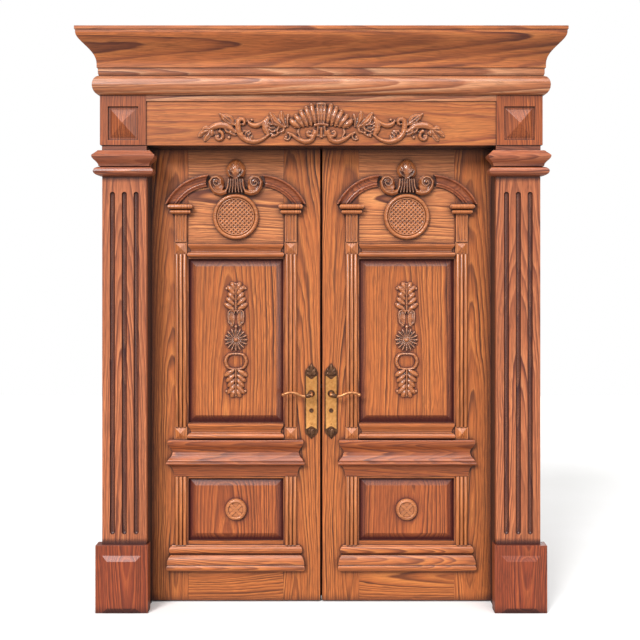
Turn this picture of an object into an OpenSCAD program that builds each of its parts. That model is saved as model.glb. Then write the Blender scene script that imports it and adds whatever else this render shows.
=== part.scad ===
// Carved timber double door in a pilastered surround with a moulded cornice.
// X runs across the doorway, the front faces -Y and +Z is up. Millimetres.
// The origin lies on the floor, under the middle of the whole outline.

/* [Doorway] */
// Clear width between the jamb stops
opening_w = 1650; // [1560:10:1800]
// Height of the soffit above the floor
opening_h = 2201; // [2180:1:2400]
// Depth from the pilaster face back to the face of the leaves
reveal_d = 145; // [135:1:200]

/* [Jambs] */
// Thickness of the jambs and of the head
jamb_t = 45; // [38:1:60]
// Width of the rebate that each leaf closes into
stop_w = 12; // [10:1:16]
// Clearance round the edges of each leaf
leaf_gap = 3; // [3:0.5:4]
// Diameter of the holes for the frame screws
anchor_d = 10; // [8:0.5:12]
// Distance between the inner pair of frame screws
anchor_inner = 640; // [500:10:700]
// Distance between the outer pair of frame screws
anchor_outer = 1760; // [1600:10:1900]

/* [Pilasters] */
// Width of each pilaster shaft
shaft_w = 209; // [190:1:230]
// Thickness of the pilaster boards
shaft_t = 45; // [38:1:60]
// Set-back of the pilaster from the jamb face
shaft_setback = 2; // [1:0.5:6]
// Number of flutes
flutes = 3; // [2:1:4]
// Width of one flute
flute_w = 24; // [20:1:30]
// Depth of one flute
flute_d = 11; // [5:0.5:11]
// Spacing of the flutes
flute_pitch = 56; // [46:1:60]
// Plain length of shaft below the flutes
flute_margin = 58; // [40:1:90]
// Plain length of shaft above the flutes
flute_head = 84; // [60:1:110]
// Height of each plinth
plinth_h = 319; // [260:1:360]
// How far the plinth stands out from the shaft on its outer side
plinth_side = 27; // [14:1:34]
// How far the plinth stands out from the shaft on its inner side
plinth_in = 11; // [6:1:18]
// How far the plinth stands out from the shaft in front
plinth_front = 25; // [15:1:40]
// Rise of the bevelled fields on plinths and blocks
field_rise = 12; // [6:0.5:16]
// Margin beside the bevelled field of a plinth
plinth_margin = 30; // [20:1:40]
// Margin over the bevelled field of a plinth
plinth_head = 46; // [36:1:60]
// Width of the bevels on a plinth
plinth_bevel = 27; // [18:1:34]
// Height of each capital
capital_h = 148; // [130:1:170]
// Widest overhang of a capital
capital_out = 43; // [30:1:50]

/* [Cornice] */
// How far the frieze stands out from the pilasters
frieze_out = 9; // [4:1:16]
// Height of the frieze
frieze_h = 235; // [210:1:260]
// Height of the strip over the frieze panel
strip_h = 28; // [20:1:36]
// Set-back of the frieze panel from its end blocks
panel_back = 6; // [2:0.5:10]
// Width of the pointed boss on each end block
boss_w = 125; // [100:1:150]
// Height of the pointed boss on each end block
boss_h = 140; // [110:1:160]
// Width of the sunk border round the boss
boss_border = 9; // [6:1:14]
// Rise of the boss from the floor of that border
boss_rise = 34; // [20:1:44]
// Height of the torus of the bed moulding
bed_h = 92; // [70:1:110]
// Projection of that torus
bed_out = 32; // [20:1:40]
// Height of the fillet over the torus
fillet_h = 36; // [20:1:48]
// Projection of that fillet
fillet_out = 8; // [4:1:16]
// Height of the crown moulding
crown_h = 163; // [130:1:190]
// Projection of the crown moulding at its foot
crown_foot = 13; // [8:1:24]
// Projection of the crown moulding at its top
crown_out = 95; // [70:1:110]
// Thickness of the cap board
cap_t = 16; // [12:1:24]
// Projection of the cap board
cap_out = 99; // [97:1:120]
// Thickness of timber left round the hollow behind the crown
crown_wall = 34; // [26:1:44]

/* [Leaves] */
// Thickness of each leaf
leaf_t = 55; // [48:1:64]
// Gap under the leaves
floor_gap = 6; // [4:1:10]
// Gap between the leaves at the back
meeting_gap = 4; // [3.5:0.5:6]
// Bevel of each meeting edge at the front
meeting_bevel = 4; // [2:0.5:6]
// Width of the lock stiles
stile_w = 182; // [165:1:195]
// Height of the bottom rail
bottom_rail_h = 291; // [270:1:310]
// Height of the lower panel opening
lower_panel_h = 304; // [280:1:330]
// Height of the lock rail
lock_rail_h = 270; // [260:1:290]
// Height of the top rail
top_rail_h = 541; // [530:1:560]
// Length of the tenons on the rails
tenon_l = 60; // [40:1:80]
// Shoulder left above and below each tenon
tenon_shoulder = 40; // [30:1:60]
// Width of the grooves and thickness of the tongues
groove_w = 14; // [12:1:22]
// Depth of the panel grooves
groove_d = 14; // [10:1:18]
// Sinking of the panel field below the leaf face
field_sink = 5; // [4:0.5:12]
// Width of the bevel round the panel field
field_bevel = 36; // [20:1:44]

/* [Leaf mouldings] */
// Height of the base moulding's lower edge above the floor
base_z = 154; // [140:1:170]
// Height of the base moulding
base_h = 124; // [110:1:134]
// Projection of the base moulding
base_out = 34; // [24:1:44]
// Gap between the lower panel opening and the waist moulding
waist_gap = 10; // [4:1:16]
// Height of the waist moulding
waist_h = 180; // [170:1:186]
// Projection of the waist moulding
waist_out = 42; // [30:1:50]
// How far the waist and base mouldings lie over the stiles
belt_over = 104; // [98:1:110]
// Height of the moulding under the upper panel
sill_h = 78; // [60:1:80]
// Height of the moulding over the upper panel
bar_h = 64; // [50:1:72]
// Projection of the mouldings under and over the upper panel
bar_out = 24; // [16:1:30]
// Gap between the panel opening and the moulding over it
bar_gap = 8; // [4:1:14]
// Distance of the side columns from the panel opening
column_offset = 36; // [34:1:44]
// Width of the side columns and reeded strips
column_w = 56; // [48:1:60]
// Projection of the side columns and reeded strips
column_out = 14; // [9:1:20]
// Reeds across one strip
reeds = 3; // [2:1:5]
// Side of the pointed corner blocks
corner_s = 61; // [54:1:66]
// Height of the side columns above the moulding over the panel
column_lift = 11; // [6:1:16]
// Gap at the ends of the mouldings under and over the upper panel
bar_end = 2; // [1:0.5:4]
// Height of the side columns
column_h = 135; // [110:1:150]
// Width of the side columns' capitals
small_cap_w = 119; // [100:1:126]
// Height of the side columns' capitals
small_cap_h = 47; // [38:1:54]

/* [Arch] */
// Height from the side columns' capitals to the arch's outer foot
arch_stilt = 11; // [4:1:20]
// Distance of the centres of the arch's halves from the leaf's axis
arch_x = 117; // [108:1:124]
// Angle at which the arch springs
arch_spring = 28; // [20:1:40]
// Width of the arch moulding
arch_w = 55; // [48:1:62]
// Projection of the arch moulding
arch_out = 35; // [24:1:44]
// Overhang of the arch beyond the side columns' capitals
arch_over = 8; // [4:1:16]
// Distance of the scroll eyes from the leaf's axis
scroll_x = 93; // [86:1:100]
// Radius of the scrolls beside the keystone
scroll_r = 36; // [30:1:40]
// Width of the keystone's leaf
key_w = 102; // [90:1:108]
// Height of the keystone's leaf
key_h = 100; // [90:1:104]
// Relief of the keystone
key_relief = 46; // [38:1:54]
// Outer radius of the lattice rosette
rosette_r = 111; // [95:1:116]
// Width of the rosette's ring
rosette_ring = 26; // [18:1:30]
// Height of the rosette's centre above the panel opening
rosette_up = 205; // [196:1:212]
// Spacing of the rosette's lattice bars
lattice_pitch = 15; // [12:1:24]
// Radius of the button on the lower panel
button_r = 53; // [40:1:58]

/* [Carving] */
// Width of the frieze carving
carving_w = 1148; // [1000:1:1250]
// Relief of the frieze carving
frieze_relief = 20; // [12:1:24]
// Relief of the panel carving
drop_relief = 16; // [10:1:20]
// Plain height of panel left over the panel carving
drop_head = 118; // [100:1:150]
// Plain height of panel left under the panel carving
drop_foot = 128; // [100:1:150]
// Steps along each stretch of a carved curve
carve_steps = 2; // [2:1:4]

/* [Hinges] */
// Hinges on each leaf
hinge_count = 3; // [2:1:4]
// Height of one hinge
hinge_h = 110; // [90:1:130]
// Radius of the hinge barrel
barrel_r = 7; // [6:0.5:9]
// Radius of the hinge pin
pin_r = 4; // [3:0.5:4.5]
// Running clearance of the pin
pin_clear = 0.05; // [0.02:0.01:0.1]
// Thickness of the hinge plates
plate_t = 2.5; // [2:0.5:3]
// Width of the hinge plates let into the timber
plate_w = 34; // [26:1:44]
// Distance of the end hinges from the ends of the leaf
hinge_inset = 190; // [150:1:260]

/* [Handles and lock] */
// Height of the levers above the floor
lever_z = 1014; // [980:1:1050]
// Distance of the levers from the meeting edge
backset = 46; // [42:1:54]
// Width of the back plates
handle_w = 62; // [54:1:66]
// Height of the flat field of the back plates
handle_h = 262; // [250:1:280]
// Thickness of the back plates
handle_t = 5; // [4:0.5:7]
// Height of the cast finial over each back plate
finial_top = 60; // [50:1:70]
// Height of the cast finial under each back plate
finial_foot = 48; // [40:1:56]
// Distance from the lever axis down to the lower end of that field
plate_drop = 174; // [166:1:182]
// Distance from the lever axis up to the latch
latch_up = 34; // [30:1:40]
// Distance from the lever axis down to the keyhole
key_drop = 82; // [72:1:92]
// Radius of the lever's first bend
lever_dip_r = 60; // [50:1:70]
// Radius of the lever's second bend
lever_rise_r = 75; // [60:1:90]
// Angle of the lever's bends
lever_sweep = 30; // [24:1:34]
// Radius of the lever's grip
grip_r = 7; // [6:0.5:8]
// Radius of the lever's neck
neck_r = 9; // [8:0.5:11]
// Reach of the lever from the back plate
lever_reach = 48; // [44:1:60]
// Depth of the lock cases into the leaf
case_d = 84; // [80:1:100]
// Thickness of the lock cases
case_t = 16; // [14:1:20]
// Height of a lock case above the lever axis
case_up = 95; // [85:1:110]
// Height of a lock case below the lever axis
case_down = 165; // [150:1:180]
// Projection of the latch from the meeting edge
latch_out = 11; // [9:0.5:12]
// Throw of the dead bolt
bolt_throw = 16; // [14:0.5:17]
// Radius of the shoot bolts
rod_r = 5; // [4:0.5:5.5]
// Throw of the shoot bolts
rod_throw = 18; // [14:0.5:20]
// Clearance round sliding bolts and turning necks
slide_clear = 0.3; // [0.2:0.05:0.5]

/* [Hidden] */
$fn = 48;
eps = 0.01;
// How far one body of a board runs into the next
seat = 1;

wood = "peru";
wood_dark = "sienna";
gold = "goldenrod";
bronze = "darkgoldenrod";
steel = "silver";

// Frame
open_half = opening_w / 2;
rebate_half = open_half + stop_w;
casing_y = shaft_t - reveal_d;
head_top = opening_h + jamb_t;
shaft_in = open_half + shaft_setback;
shaft_out = shaft_in + shaft_w;
shaft_mid = (shaft_in + shaft_out) / 2;
frieze_z = opening_h + shaft_setback * 2;
shaft_top = frieze_z - capital_h;
frieze_half = shaft_out + frieze_out;
frieze_y = -reveal_d - frieze_out;
block_w = shaft_w + frieze_out;
panel_half_w = frieze_half - block_w;
bed_z = frieze_z + frieze_h;
crown_z = bed_z + bed_h + fillet_h;
cap_z = crown_z + crown_h;

// Leaf, drawn for the right side of the doorway
hinge_edge = rebate_half - leaf_gap;
meet_edge = meeting_gap / 2;
leaf_top = opening_h + stop_w - leaf_gap;
axis_x = (meet_edge + meeting_bevel + open_half) / 2;
panel_half = axis_x - meet_edge - stile_w;
hinge_stile_x = axis_x + panel_half;
low_z0 = floor_gap + bottom_rail_h;
low_z1 = low_z0 + lower_panel_h;
up_z0 = low_z1 + lock_rail_h;
up_z1 = leaf_top - top_rail_h;
mid_y = leaf_t / 2;

// Leaf mouldings
belt_half = panel_half + belt_over;
waist_z = low_z1 + waist_gap;
waist_top = waist_z + waist_h;
bar_z = up_z1 + bar_gap;
bar_half = panel_half + column_offset - corner_s / 2 - bar_end;
column_x = panel_half + column_offset;
column_z = up_z1 + bar_gap + bar_h + column_lift;
small_cap_z = column_z + column_h;
cap_top_z = small_cap_z + small_cap_h;
arch_half = column_x + small_cap_w / 2 + arch_over;
arch_r = (arch_half - arch_x) / cos(arch_spring);
arch_z = cap_top_z + arch_stilt - arch_r * sin(arch_spring);
arch_top = arch_z + arch_r;
arch_tuck = 6;
arch_foot = arch_spring - arch_tuck;
scroll_z = arch_top - scroll_r;
scroll_body = 15;
scroll_cut = scroll_r + scroll_body;
rosette_z = up_z1 + rosette_up;
button_z = (low_z0 + low_z1) / 2;
drop_h = up_z1 - up_z0 - drop_head - drop_foot;
drop_z = up_z0 + drop_foot + drop_h / 2;

// Ironmongery
pivot_x = hinge_edge + leaf_gap / 2;
barrel_clear = 1;
pivot_y = leaf_t + barrel_r + barrel_clear;
knuckle_gap = 0.3;
handle_x = meet_edge + backset;
handle_z0 = lever_z - plate_drop;
latch_z = lever_z + latch_up;
spindle_r = 6;
lever_len = 2 * (lever_dip_r + lever_rise_r) * sin(lever_sweep);
ball_r = grip_r * 1.3;
rose_r = 17;
rose_t = 5;
latch_h = 20;
latch_t = 12;
bolt_h = 36;
bolt_t = 11;
bolt_tail = 40;
forend_t = 3;
forend_w = 22;
forend_over = 22;
rod_inset = 21;
rod_x = meet_edge + rod_inset;
rod_in = 42;
key_z = lever_z - key_drop;
case_z0 = lever_z - case_down;
case_z1 = lever_z + case_up;
case_x0 = meet_edge + forend_t;

// Shift that puts the origin under the middle of the outline
y_front = frieze_y - cap_out;
y_back = leaf_t + handle_t + rose_t + lever_reach + ball_r;
y_shift = -(y_front + y_back) / 2;

// Placing

// The right half, moved so that the outline is centred over the origin
module right() translate([0, y_shift, 0]) children();

// The left half, as the mirror image of the right one
module left() mirror([1, 0, 0]) right() children();

// A piece on the feature axis of the right leaf
module on_leaf(z = 0, y = 0) translate([axis_x, y, z]) children();

// A shape and its mirror image across the YZ plane
module both_sides() {
    children();
    mirror([1, 0, 0]) children();
}

// Box between two corners
module box(a, b) translate(a) cube(b - a);

// Prism of a (y, z) outline, centred along X
module along_x(length, outline)
    rotate([90, 0, 90]) linear_extrude(length, center = true) polygon(outline);

// Prism of an (x, z) outline from y0 to y1
module along_y(y0, y1, outline)
    translate([0, y1, 0]) rotate([90, 0, 0]) linear_extrude(y1 - y0) polygon(outline);

// Moulding profiles, as lists of [height, projection]

// Half-ellipse that swells by out
function torus(z0, z1, base, out, n = 10) =
    [for (i = [0:n]) [z0 + (z1 - z0) * (1 - cos(180 * i / n)) / 2, base + out * sin(180 * i / n)]];

// S-curve from p0 to p1, with its turn moved up by a skew over 1
function cyma(z0, z1, p0, p1, skew = 1, n = 12) =
    [for (i = [0:n]) [z0 + (z1 - z0) * i / n, p0 + (p1 - p0) * (1 - cos(180 * pow(i / n, skew))) / 2]];

// Quarter hollow from p0 to p1
function cove(z0, z1, p0, p1, n = 8) =
    [for (i = [0:n]) [z0 + (z1 - z0) * sin(90 * i / n), p0 + (p1 - p0) * (1 - cos(90 * i / n))]];

// Solid with one profile worked round its front and both ends, with mitred corners
module mitred(profile, half, depth = 0, y = 0) {
    lo = profile[0][0];
    hi = profile[len(profile) - 1][0];
    most = max([for (p = profile) p[1]]);
    front = [for (p = profile) [y - p[1], p[0]]];
    right_end = [for (p = profile) [half + p[1], p[0]]];
    left_end = [for (i = [len(profile) - 1:-1:0]) [-half - profile[i][1], profile[i][0]]];
    intersection() {
        along_x(2 * (half + most) + 2, concat(front, [[y + depth, hi], [y + depth, lo]]));
        along_y(y - most - 1, y + depth + 1, concat(right_end, left_end));
    }
}

// Flat-topped field with equal bevels, standing out of the plane y = 0
module bevelled_field(w, h, bevel, rise) {
    intersection() {
        along_x(w, [[0, -h / 2], [-rise, bevel - h / 2], [-rise, h / 2 - bevel], [0, h / 2]]);
        linear_extrude(h, center = true)
            polygon([[-w / 2, 0], [bevel - w / 2, -rise], [w / 2 - bevel, -rise], [w / 2, 0]]);
    }
}

// Four-sided point standing out of the plane y = 0
module pointed_boss(w, h, rise) {
    intersection() {
        along_x(w, [[0, -h / 2], [-rise, 0], [0, h / 2]]);
        linear_extrude(h, center = true) polygon([[-w / 2, 0], [0, -rise], [w / 2, 0]]);
    }
}

// Width and height of the carvings in the units of their drawings
FRIEZE_DRAWING = [1148, 235];
DROP_DRAWING = [114, 552];

// Carving tools: strokes over the (x, z) plane that stand out towards -Y

RIDGE = [[-1, 0], [-0.72, 0.62], [0, 1], [0.72, 0.62], [1, 0]];
GABLE = [[-1, 0], [0, 1], [1, 0]];

// Point on a smooth curve through four points, between the middle two
function catmull(a, b, c, d, t) =
    (2 * b + (c - a) * t + (2 * a - 5 * b + 4 * c - d) * t * t + (3 * b - a - 3 * c + d) * t * t * t) / 2;

// Smooth curve through a few points
function curve(p, n = carve_steps) = concat(
    [for (i = [0:len(p) - 2], k = [0:n - 1])
        catmull(p[max(i - 1, 0)], p[i], p[i + 1], p[min(i + 2, len(p) - 1)], k / n)],
    [p[len(p) - 1]]);

// Spiral about a centre
function spiral(centre, r0, r1, a0, a1, n) =
    [for (i = [0:n]) let (a = a0 + (a1 - a0) * i / n, r = r0 + (r1 - r0) * i / n)
        centre + r * [cos(a), sin(a)]];

// Direction of a curve at one of its points
function heading(path, i) =
    let (d = path[min(i + 1, len(path) - 1)] - path[max(i - 1, 0)]) d / norm(d);

// Vector turned by an angle
function turned(v, a) = [v[0] * cos(a) - v[1] * sin(a), v[0] * sin(a) + v[1] * cos(a)];

// Widths and heights along a stroke
function taper(a, b) = function(t) a + (b - a) * t;
function swell(ends, middle) = function(t) ends + (middle - ends) * sin(180 * t);

// Cross-section of a stroke at one point of its path
function section_at(path, i, w, h, section) =
    let (n = turned(heading(path, i), 90))
    [for (s = section) [path[i][0] + n[0] * s[0] * w, -s[1] * h, path[i][1] + n[1] * s[0] * w]];

// Carved stroke with a changing half-width and height
module stroke(path, w, h, section = RIDGE) {
    last = len(path) - 1;
    for (i = [0:last - 1]) {
        t0 = i / last;
        t1 = (i + 1) / last;
        points = concat(
            section_at(path, i, w(t0), h(t0), section),
            section_at(path, i + 1, w(t1), h(t1), section));
        hull() polyhedron(points, [[for (k = [0:len(points) - 1]) k]]);
    }
}

// Pointed lobe that leaves a base at an angle and bends by a droop
module lobe(base, angle, length, droop, w, h, steps = 1) {
    tip = base + length * turned([cos(angle), sin(angle)], droop);
    belly = base + length * 0.55 * [cos(angle), sin(angle)];
    stroke(curve([base, belly, tip], steps), swell(w * 0.3, w), swell(h * 0.6, h), GABLE);
}

// Low dome with a few sides
module bead(at, r, h, sides = 6) {
    rings = [[1, 0], [0.75, 0.72]];
    turn = 360 / sides;
    points = concat(
        [for (q = rings, i = [0:sides - 1])
            [at[0] + r * q[0] * cos(i * turn), -h * q[1], at[1] + r * q[0] * sin(i * turn)]],
        [[at[0], -h, at[1]]]);
    hull() polyhedron(points, [[for (k = [0:len(points) - 1]) k]]);
}

// Surround

// Jamb with a rebate for the leaf, hinge recesses and frame screw holes
module jamb() {
    color(wood_dark) difference() {
        box([open_half, casing_y, 0], [open_half + jamb_t, leaf_t, head_top]);
        box([open_half - 1, 0, -1], [rebate_half, leaf_t + 1, head_top - jamb_t + stop_w]);
        for (z = hinge_heights())
            box([rebate_half - eps, leaf_t - plate_w, z - hinge_h / 2],
                [rebate_half + plate_t, leaf_t + 1, z + hinge_h / 2]);
        for (span = [anchor_inner, anchor_outer], end = [-1, 1])
            translate([rebate_half - 1, mid_y, opening_h / 2 + end * span / 2])
                rotate([0, 90, 0]) cylinder(r = anchor_d / 2, h = jamb_t + 2);
    }
}

// Heights of the hinges' middles
function hinge_heights() =
    let (z0 = floor_gap + hinge_inset, z1 = leaf_top - hinge_inset)
    [for (i = [0:hinge_count - 1]) z0 + (z1 - z0) * i / (hinge_count - 1)];

// Head between the jambs, rebated, with the keep for the upper shoot bolt
module head_jamb() {
    color(wood_dark) difference() {
        box([-open_half, casing_y, opening_h], [open_half, leaf_t, head_top]);
        box([-open_half - 1, 0, opening_h - 1], [open_half + 1, leaf_t + 1, opening_h + stop_w]);
        translate([-rod_x, mid_y, opening_h + stop_w - 1])
            cylinder(r = rod_r + 2 * slide_clear, h = rod_throw + leaf_gap + 2);
    }
}

// Fluted pilaster shaft
module shaft() {
    flute_r = (flute_w * flute_w / 4 + flute_d * flute_d) / (2 * flute_d);
    color(wood) difference() {
        box([shaft_in, -reveal_d, plinth_h], [shaft_out, casing_y, shaft_top]);
        for (i = [0:flutes - 1])
            translate([shaft_mid + (i - (flutes - 1) / 2) * flute_pitch, flute_d - flute_r - reveal_d, 0]) {
                translate([0, 0, plinth_h + flute_margin])
                    cylinder(r = flute_r, h = shaft_top - flute_head - plinth_h - flute_margin);
                for (z = [plinth_h + flute_margin, shaft_top - flute_head])
                    translate([0, 0, z]) sphere(r = flute_r);
            }
    }
}

// Plinth block with a bevelled field
module plinth() {
    x0 = shaft_in - plinth_in;
    x1 = shaft_out + plinth_side;
    front = -reveal_d - plinth_front;
    color(wood_dark) {
        box([x0, front, 0], [x1, casing_y, plinth_h]);
        translate([(x0 + x1) / 2, front + seat, (plinth_h - plinth_head) / 2])
            bevelled_field(x1 - x0 - 2 * plinth_margin, plinth_h - plinth_head, plinth_bevel,
                field_rise + seat);
    }
}

// Moulded capital worked round the front and both sides of its shaft
module capital() {
    z1 = capital_h;
    profile = concat(
        [[0, 0]],
        torus(3, z1 * 0.31, 6, capital_out * 0.72),
        [[z1 * 0.33, capital_out * 0.36]],
        cyma(z1 * 0.35, z1 * 0.64, capital_out * 0.36, capital_out),
        [[z1 * 0.67, capital_out], [z1 * 0.8, capital_out * 0.5], [z1 * 0.83, capital_out * 0.42]],
        [[z1 * 0.84, 1], [z1, 1]]);
    color(wood_dark) translate([shaft_mid, 0, shaft_top])
        mitred(profile, shaft_w / 2, shaft_t, -reveal_d);
}

// Frieze end block over a pilaster, with a pointed boss in a sunk square
module frieze_block() {
    mid = frieze_half - block_w / 2;
    color(wood) translate([mid, frieze_y, frieze_z]) {
        difference() {
            box([-block_w / 2, 0, 0], [block_w / 2, casing_y - frieze_y, frieze_h]);
            translate([0, 0, frieze_h * 0.44])
                box([-boss_w / 2 - boss_border, -1, -boss_h / 2 - boss_border],
                    [boss_w / 2 + boss_border, boss_border, boss_h / 2 + boss_border]);
        }
        translate([0, boss_border + seat, frieze_h * 0.44]) pointed_boss(boss_w, boss_h, boss_rise + seat);
    }
}

// Board between the frieze blocks, behind the carving
module frieze_panel() {
    color(wood) box([-panel_half_w, frieze_y + panel_back, frieze_z],
        [panel_half_w, casing_y, bed_z - strip_h]);
}

// Carved shell between scrolls and leaves, drawn above the frieze's lower edge
module frieze_carving() {
    h = frieze_relief;
    color(wood_dark) translate([0, frieze_y + panel_back, frieze_z])
        scale([carving_w / FRIEZE_DRAWING[0], 1, frieze_h / FRIEZE_DRAWING[1]]) {
        shell(h);
        both_sides() {
            shell_scroll(h);
            inner_leaves(h);
            running_scroll(h);
            outer_leaves(h);
        }
    }
}

// Ribbed shell over a band and a tongue
module shell(h) {
    stroke([[0, 100], [0, 150], [0, 194]], taper(21, 28), taper(h * 0.8, h * 0.9));
    for (x = [-1, 0, 1])
        stroke([[x * 12, 100], [x * 17, 190]], taper(5, 7), taper(h, h * 1.1));
    stroke([[-22, 194], [0, 199], [22, 194]], taper(5, 5), taper(h * 1.1, h * 1.1));
    both_sides() {
        for (i = [0:4]) {
            foot = [28 + 23 * i, 97 - 4 * i];
            tip = [46 + 24 * i, 186 - 12 * i - 1.5 * i * i];
            side = (foot + tip) / 2 - [7, 0];
            stroke([foot, side, tip, tip + [3, 9]], function(t) t < 1 ? 11 + 5 * t : 6, taper(h * 0.6, h));
        }
        stroke([[15, 86], [18, 64], [17, 40]], taper(7, 9), taper(h * 0.7, h * 0.5));
    }
    stroke([[0, 86], [0, 34]], taper(9, 10), taper(h * 0.8, h * 0.7));
    stroke(curve([[-34, 93], [0, 98], [34, 93]]), taper(9, 9), taper(h, h));
}

// Scroll that curls under the shell and ends in a bead
module shell_scroll(h) {
    stroke(concat(
        spiral([53, 60], 9, 27, 420, 160, 8),
        curve([[46, 24], [77, 15], [116, 32], [140, 50], [161, 60]])),
        swell(5, 14), swell(h * 0.65, h));
    stroke(spiral([165, 38], 22, 11, 100, 330, 6), taper(6, 4), taper(h * 0.7, h * 0.6));
    bead([165, 37], 9, h * 0.8);
    bead([53, 60], 9, h * 0.9);
    lobe([98, 34], 62, 48, 20, 9, h * 0.75, 2);
}

// Leaves between the shell and the running scroll
module inner_leaves(h) {
    lobe([168, 82], 30, 104, 14, 20, h, 2);
    lobe([166, 84], 62, 80, 12, 18, h * 0.95, 2);
    lobe([158, 84], 88, 64, 6, 13, h * 0.9, 2);
    lobe([196, 92], 14, 62, 34, 15, h * 0.85, 2);
    stroke(curve([[248, 134], [262, 106], [264, 76], [246, 44]]), swell(9, 19), swell(h * 0.6, h * 0.95));
    for (i = [0:3])
        lobe([258 - 2 * i * i, 116 - 20 * i], 232 - 6 * i, 46 - 3 * i, -24, 12, h * (0.95 - 0.06 * i));
    lobe([178, 84], 272, 34, 40, 11, h * 0.8, 2);
    lobe([200, 92], 290, 44, 34, 11, h * 0.8, 2);
    bead([206, 56], 9, h * 0.8);
    bead([232, 42], 8, h * 0.7);
}

// S-scroll with a small curl above it
module running_scroll(h) {
    stroke(concat(
        curve([[250, 48], [281, 25], [325, 15], [368, 33], [391, 68], [393, 104]]),
        spiral([374, 106], 19, 8, 20, 300, 6)),
        swell(6, 16), swell(h * 0.7, h));
    stroke(curve([[257, 128], [281, 102], [313, 91], [340, 103], [348, 120]]), swell(3, 14),
        swell(h * 0.5, h));
    bead([328, 118], 9, h * 0.8);
    for (i = [0:3])
        lobe([378 - 17 * i, 44 - 8 * i], 122 - 18 * i, 46 - 6 * i, 26, 11, h * (0.85 - 0.05 * i));
}

// Long leaf, rolled leaf and hanging leaf at the outer end
module outer_leaves(h) {
    for (i = [-1:1])
        lobe([405, 92], 37 + 17 * i, 96 - 14 * abs(i), -14 * i, 15, h * (1 - 0.1 * abs(i)), 2);
    stroke(curve([[402, 58], [446, 90], [500, 90], [536, 70]]), swell(9, 19), swell(h * 0.7, h));
    stroke(spiral([486, 41], 27, 9, 96, 390, 7), taper(11, 7), taper(h * 0.95, h * 0.75));
    bead([486, 41], 10, h * 0.7);
    lobe([430, 78], 262, 44, -38, 12, h * 0.8, 2);
    lobe([458, 88], 248, 46, -26, 12, h * 0.85, 2);
    bead([436, 36], 9, h * 0.7);
    for (i = [0:3])
        lobe([524 - 3 * i, 72], 14 - 34 * i, 38 + 34 * sin(64 * i), -16 + 6 * i, 17,
            h * (0.95 - 0.06 * i), 2);
}

// Torus and fillet over the frieze, with the strip over the frieze panel
module bed_moulding() {
    profile = concat(
        torus(bed_z, bed_z + bed_h, 0, bed_out),
        [[bed_z + bed_h, fillet_out * 0.6], [bed_z + bed_h + fillet_h * 0.3, fillet_out],
            [crown_z, fillet_out]]);
    color(wood) {
        mitred(profile, frieze_half, casing_y - frieze_y, frieze_y);
        box([-panel_half_w, frieze_y, bed_z - strip_h],
            [panel_half_w, casing_y, bed_z + seat]);
    }
}

// Hollow-backed crown moulding
module crown_moulding() {
    profile = concat(
        [[crown_z, crown_foot]],
        cyma(crown_z + 8, cap_z - 14, crown_foot, crown_out, 1.4),
        [[cap_z, crown_out]]);
    color(wood) difference() {
        mitred(profile, frieze_half, casing_y - frieze_y, frieze_y);
        box([crown_wall - frieze_half, frieze_y + crown_wall, crown_z + crown_wall],
            [frieze_half - crown_wall, casing_y + 1, cap_z + 1]);
    }
}

// Cap board over the crown
module cornice_cap() {
    color(wood) mitred([[cap_z, cap_out], [cap_z + cap_t, cap_out]], frieze_half, casing_y - frieze_y,
        frieze_y);
}

// Leaf joinery

// Tenon of a rail, over the length of its housing
module tenons(z0, z1)
    box([meet_edge + stile_w - tenon_l, mid_y - groove_w / 2, z0 + tenon_shoulder],
        [hinge_stile_x + tenon_l, mid_y + groove_w / 2, z1 - tenon_shoulder]);

// Every tenon of the leaf
module all_tenons() {
    tenons(floor_gap, low_z0);
    tenons(low_z1, up_z0);
    tenons(up_z1, leaf_top);
}

// Panel tongue between two heights
module tongue(z0, z1)
    box([axis_x - panel_half - groove_d, mid_y - groove_w / 2, z0 - groove_d],
        [axis_x + panel_half + groove_d, mid_y + groove_w / 2, z1 + groove_d]);

// Both panel tongues
module all_tongues() {
    tongue(low_z0, low_z1);
    tongue(up_z0, up_z1);
}

// Stile that carries the hinges
module hinge_stile() {
    color(wood) difference() {
        box([hinge_stile_x, 0, floor_gap], [hinge_edge, leaf_t, leaf_top]);
        all_tenons();
        all_tongues();
        for (z = hinge_heights())
            box([hinge_edge - plate_t, leaf_t - plate_w, z - hinge_h / 2],
                [hinge_edge + 1, leaf_t + 1, z + hinge_h / 2]);
    }
}

// Outline of a meeting edge, bevelled towards the front
module lock_stile_blank()
    translate([0, 0, floor_gap]) linear_extrude(leaf_top - floor_gap)
        polygon([[meet_edge + meeting_bevel, 0], [meet_edge + stile_w, 0], [meet_edge + stile_w, leaf_t],
            [meet_edge, leaf_t], [meet_edge, mid_y - forend_w / 2]]);

// Stile at the meeting edge, housing the lock
module lock_stile(with_rods) {
    color(wood) difference() {
        lock_stile_blank();
        all_tenons();
        all_tongues();
        case_body();
        forend_plate();
        translate([handle_x, -1, lever_z]) rotate([-90, 0, 0])
            cylinder(r = neck_r + 2 * slide_clear, h = leaf_t + 2);
        translate([handle_x, -1, key_z]) rotate([-90, 0, 0]) cylinder(r = neck_r, h = leaf_t + 2);
        if (with_rods) translate([rod_x, mid_y, floor_gap - 1])
            cylinder(r = rod_r + slide_clear, h = leaf_top - floor_gap + 2);
    }
}

// Rail between the stiles with its tenons
module rail(z0, z1, grooved_below, grooved_above) {
    color(wood) {
        difference() {
            box([axis_x - panel_half, 0, z0], [axis_x + panel_half, leaf_t, z1]);
            if (grooved_below) tongue(z0 - groove_d - 1, z0);
            if (grooved_above) tongue(z1, z1 + groove_d + 1);
        }
        difference() {
            tenons(z0, z1);
            box([axis_x - panel_half, -1, z0], [axis_x + panel_half, leaf_t + 1, z1]);
            case_body();
        }
    }
}

module bottom_rail() rail(floor_gap, low_z0, false, true);

module lock_rail() rail(low_z1, up_z0, true, true);

module top_rail() rail(up_z1, leaf_top, true, false);

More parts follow.
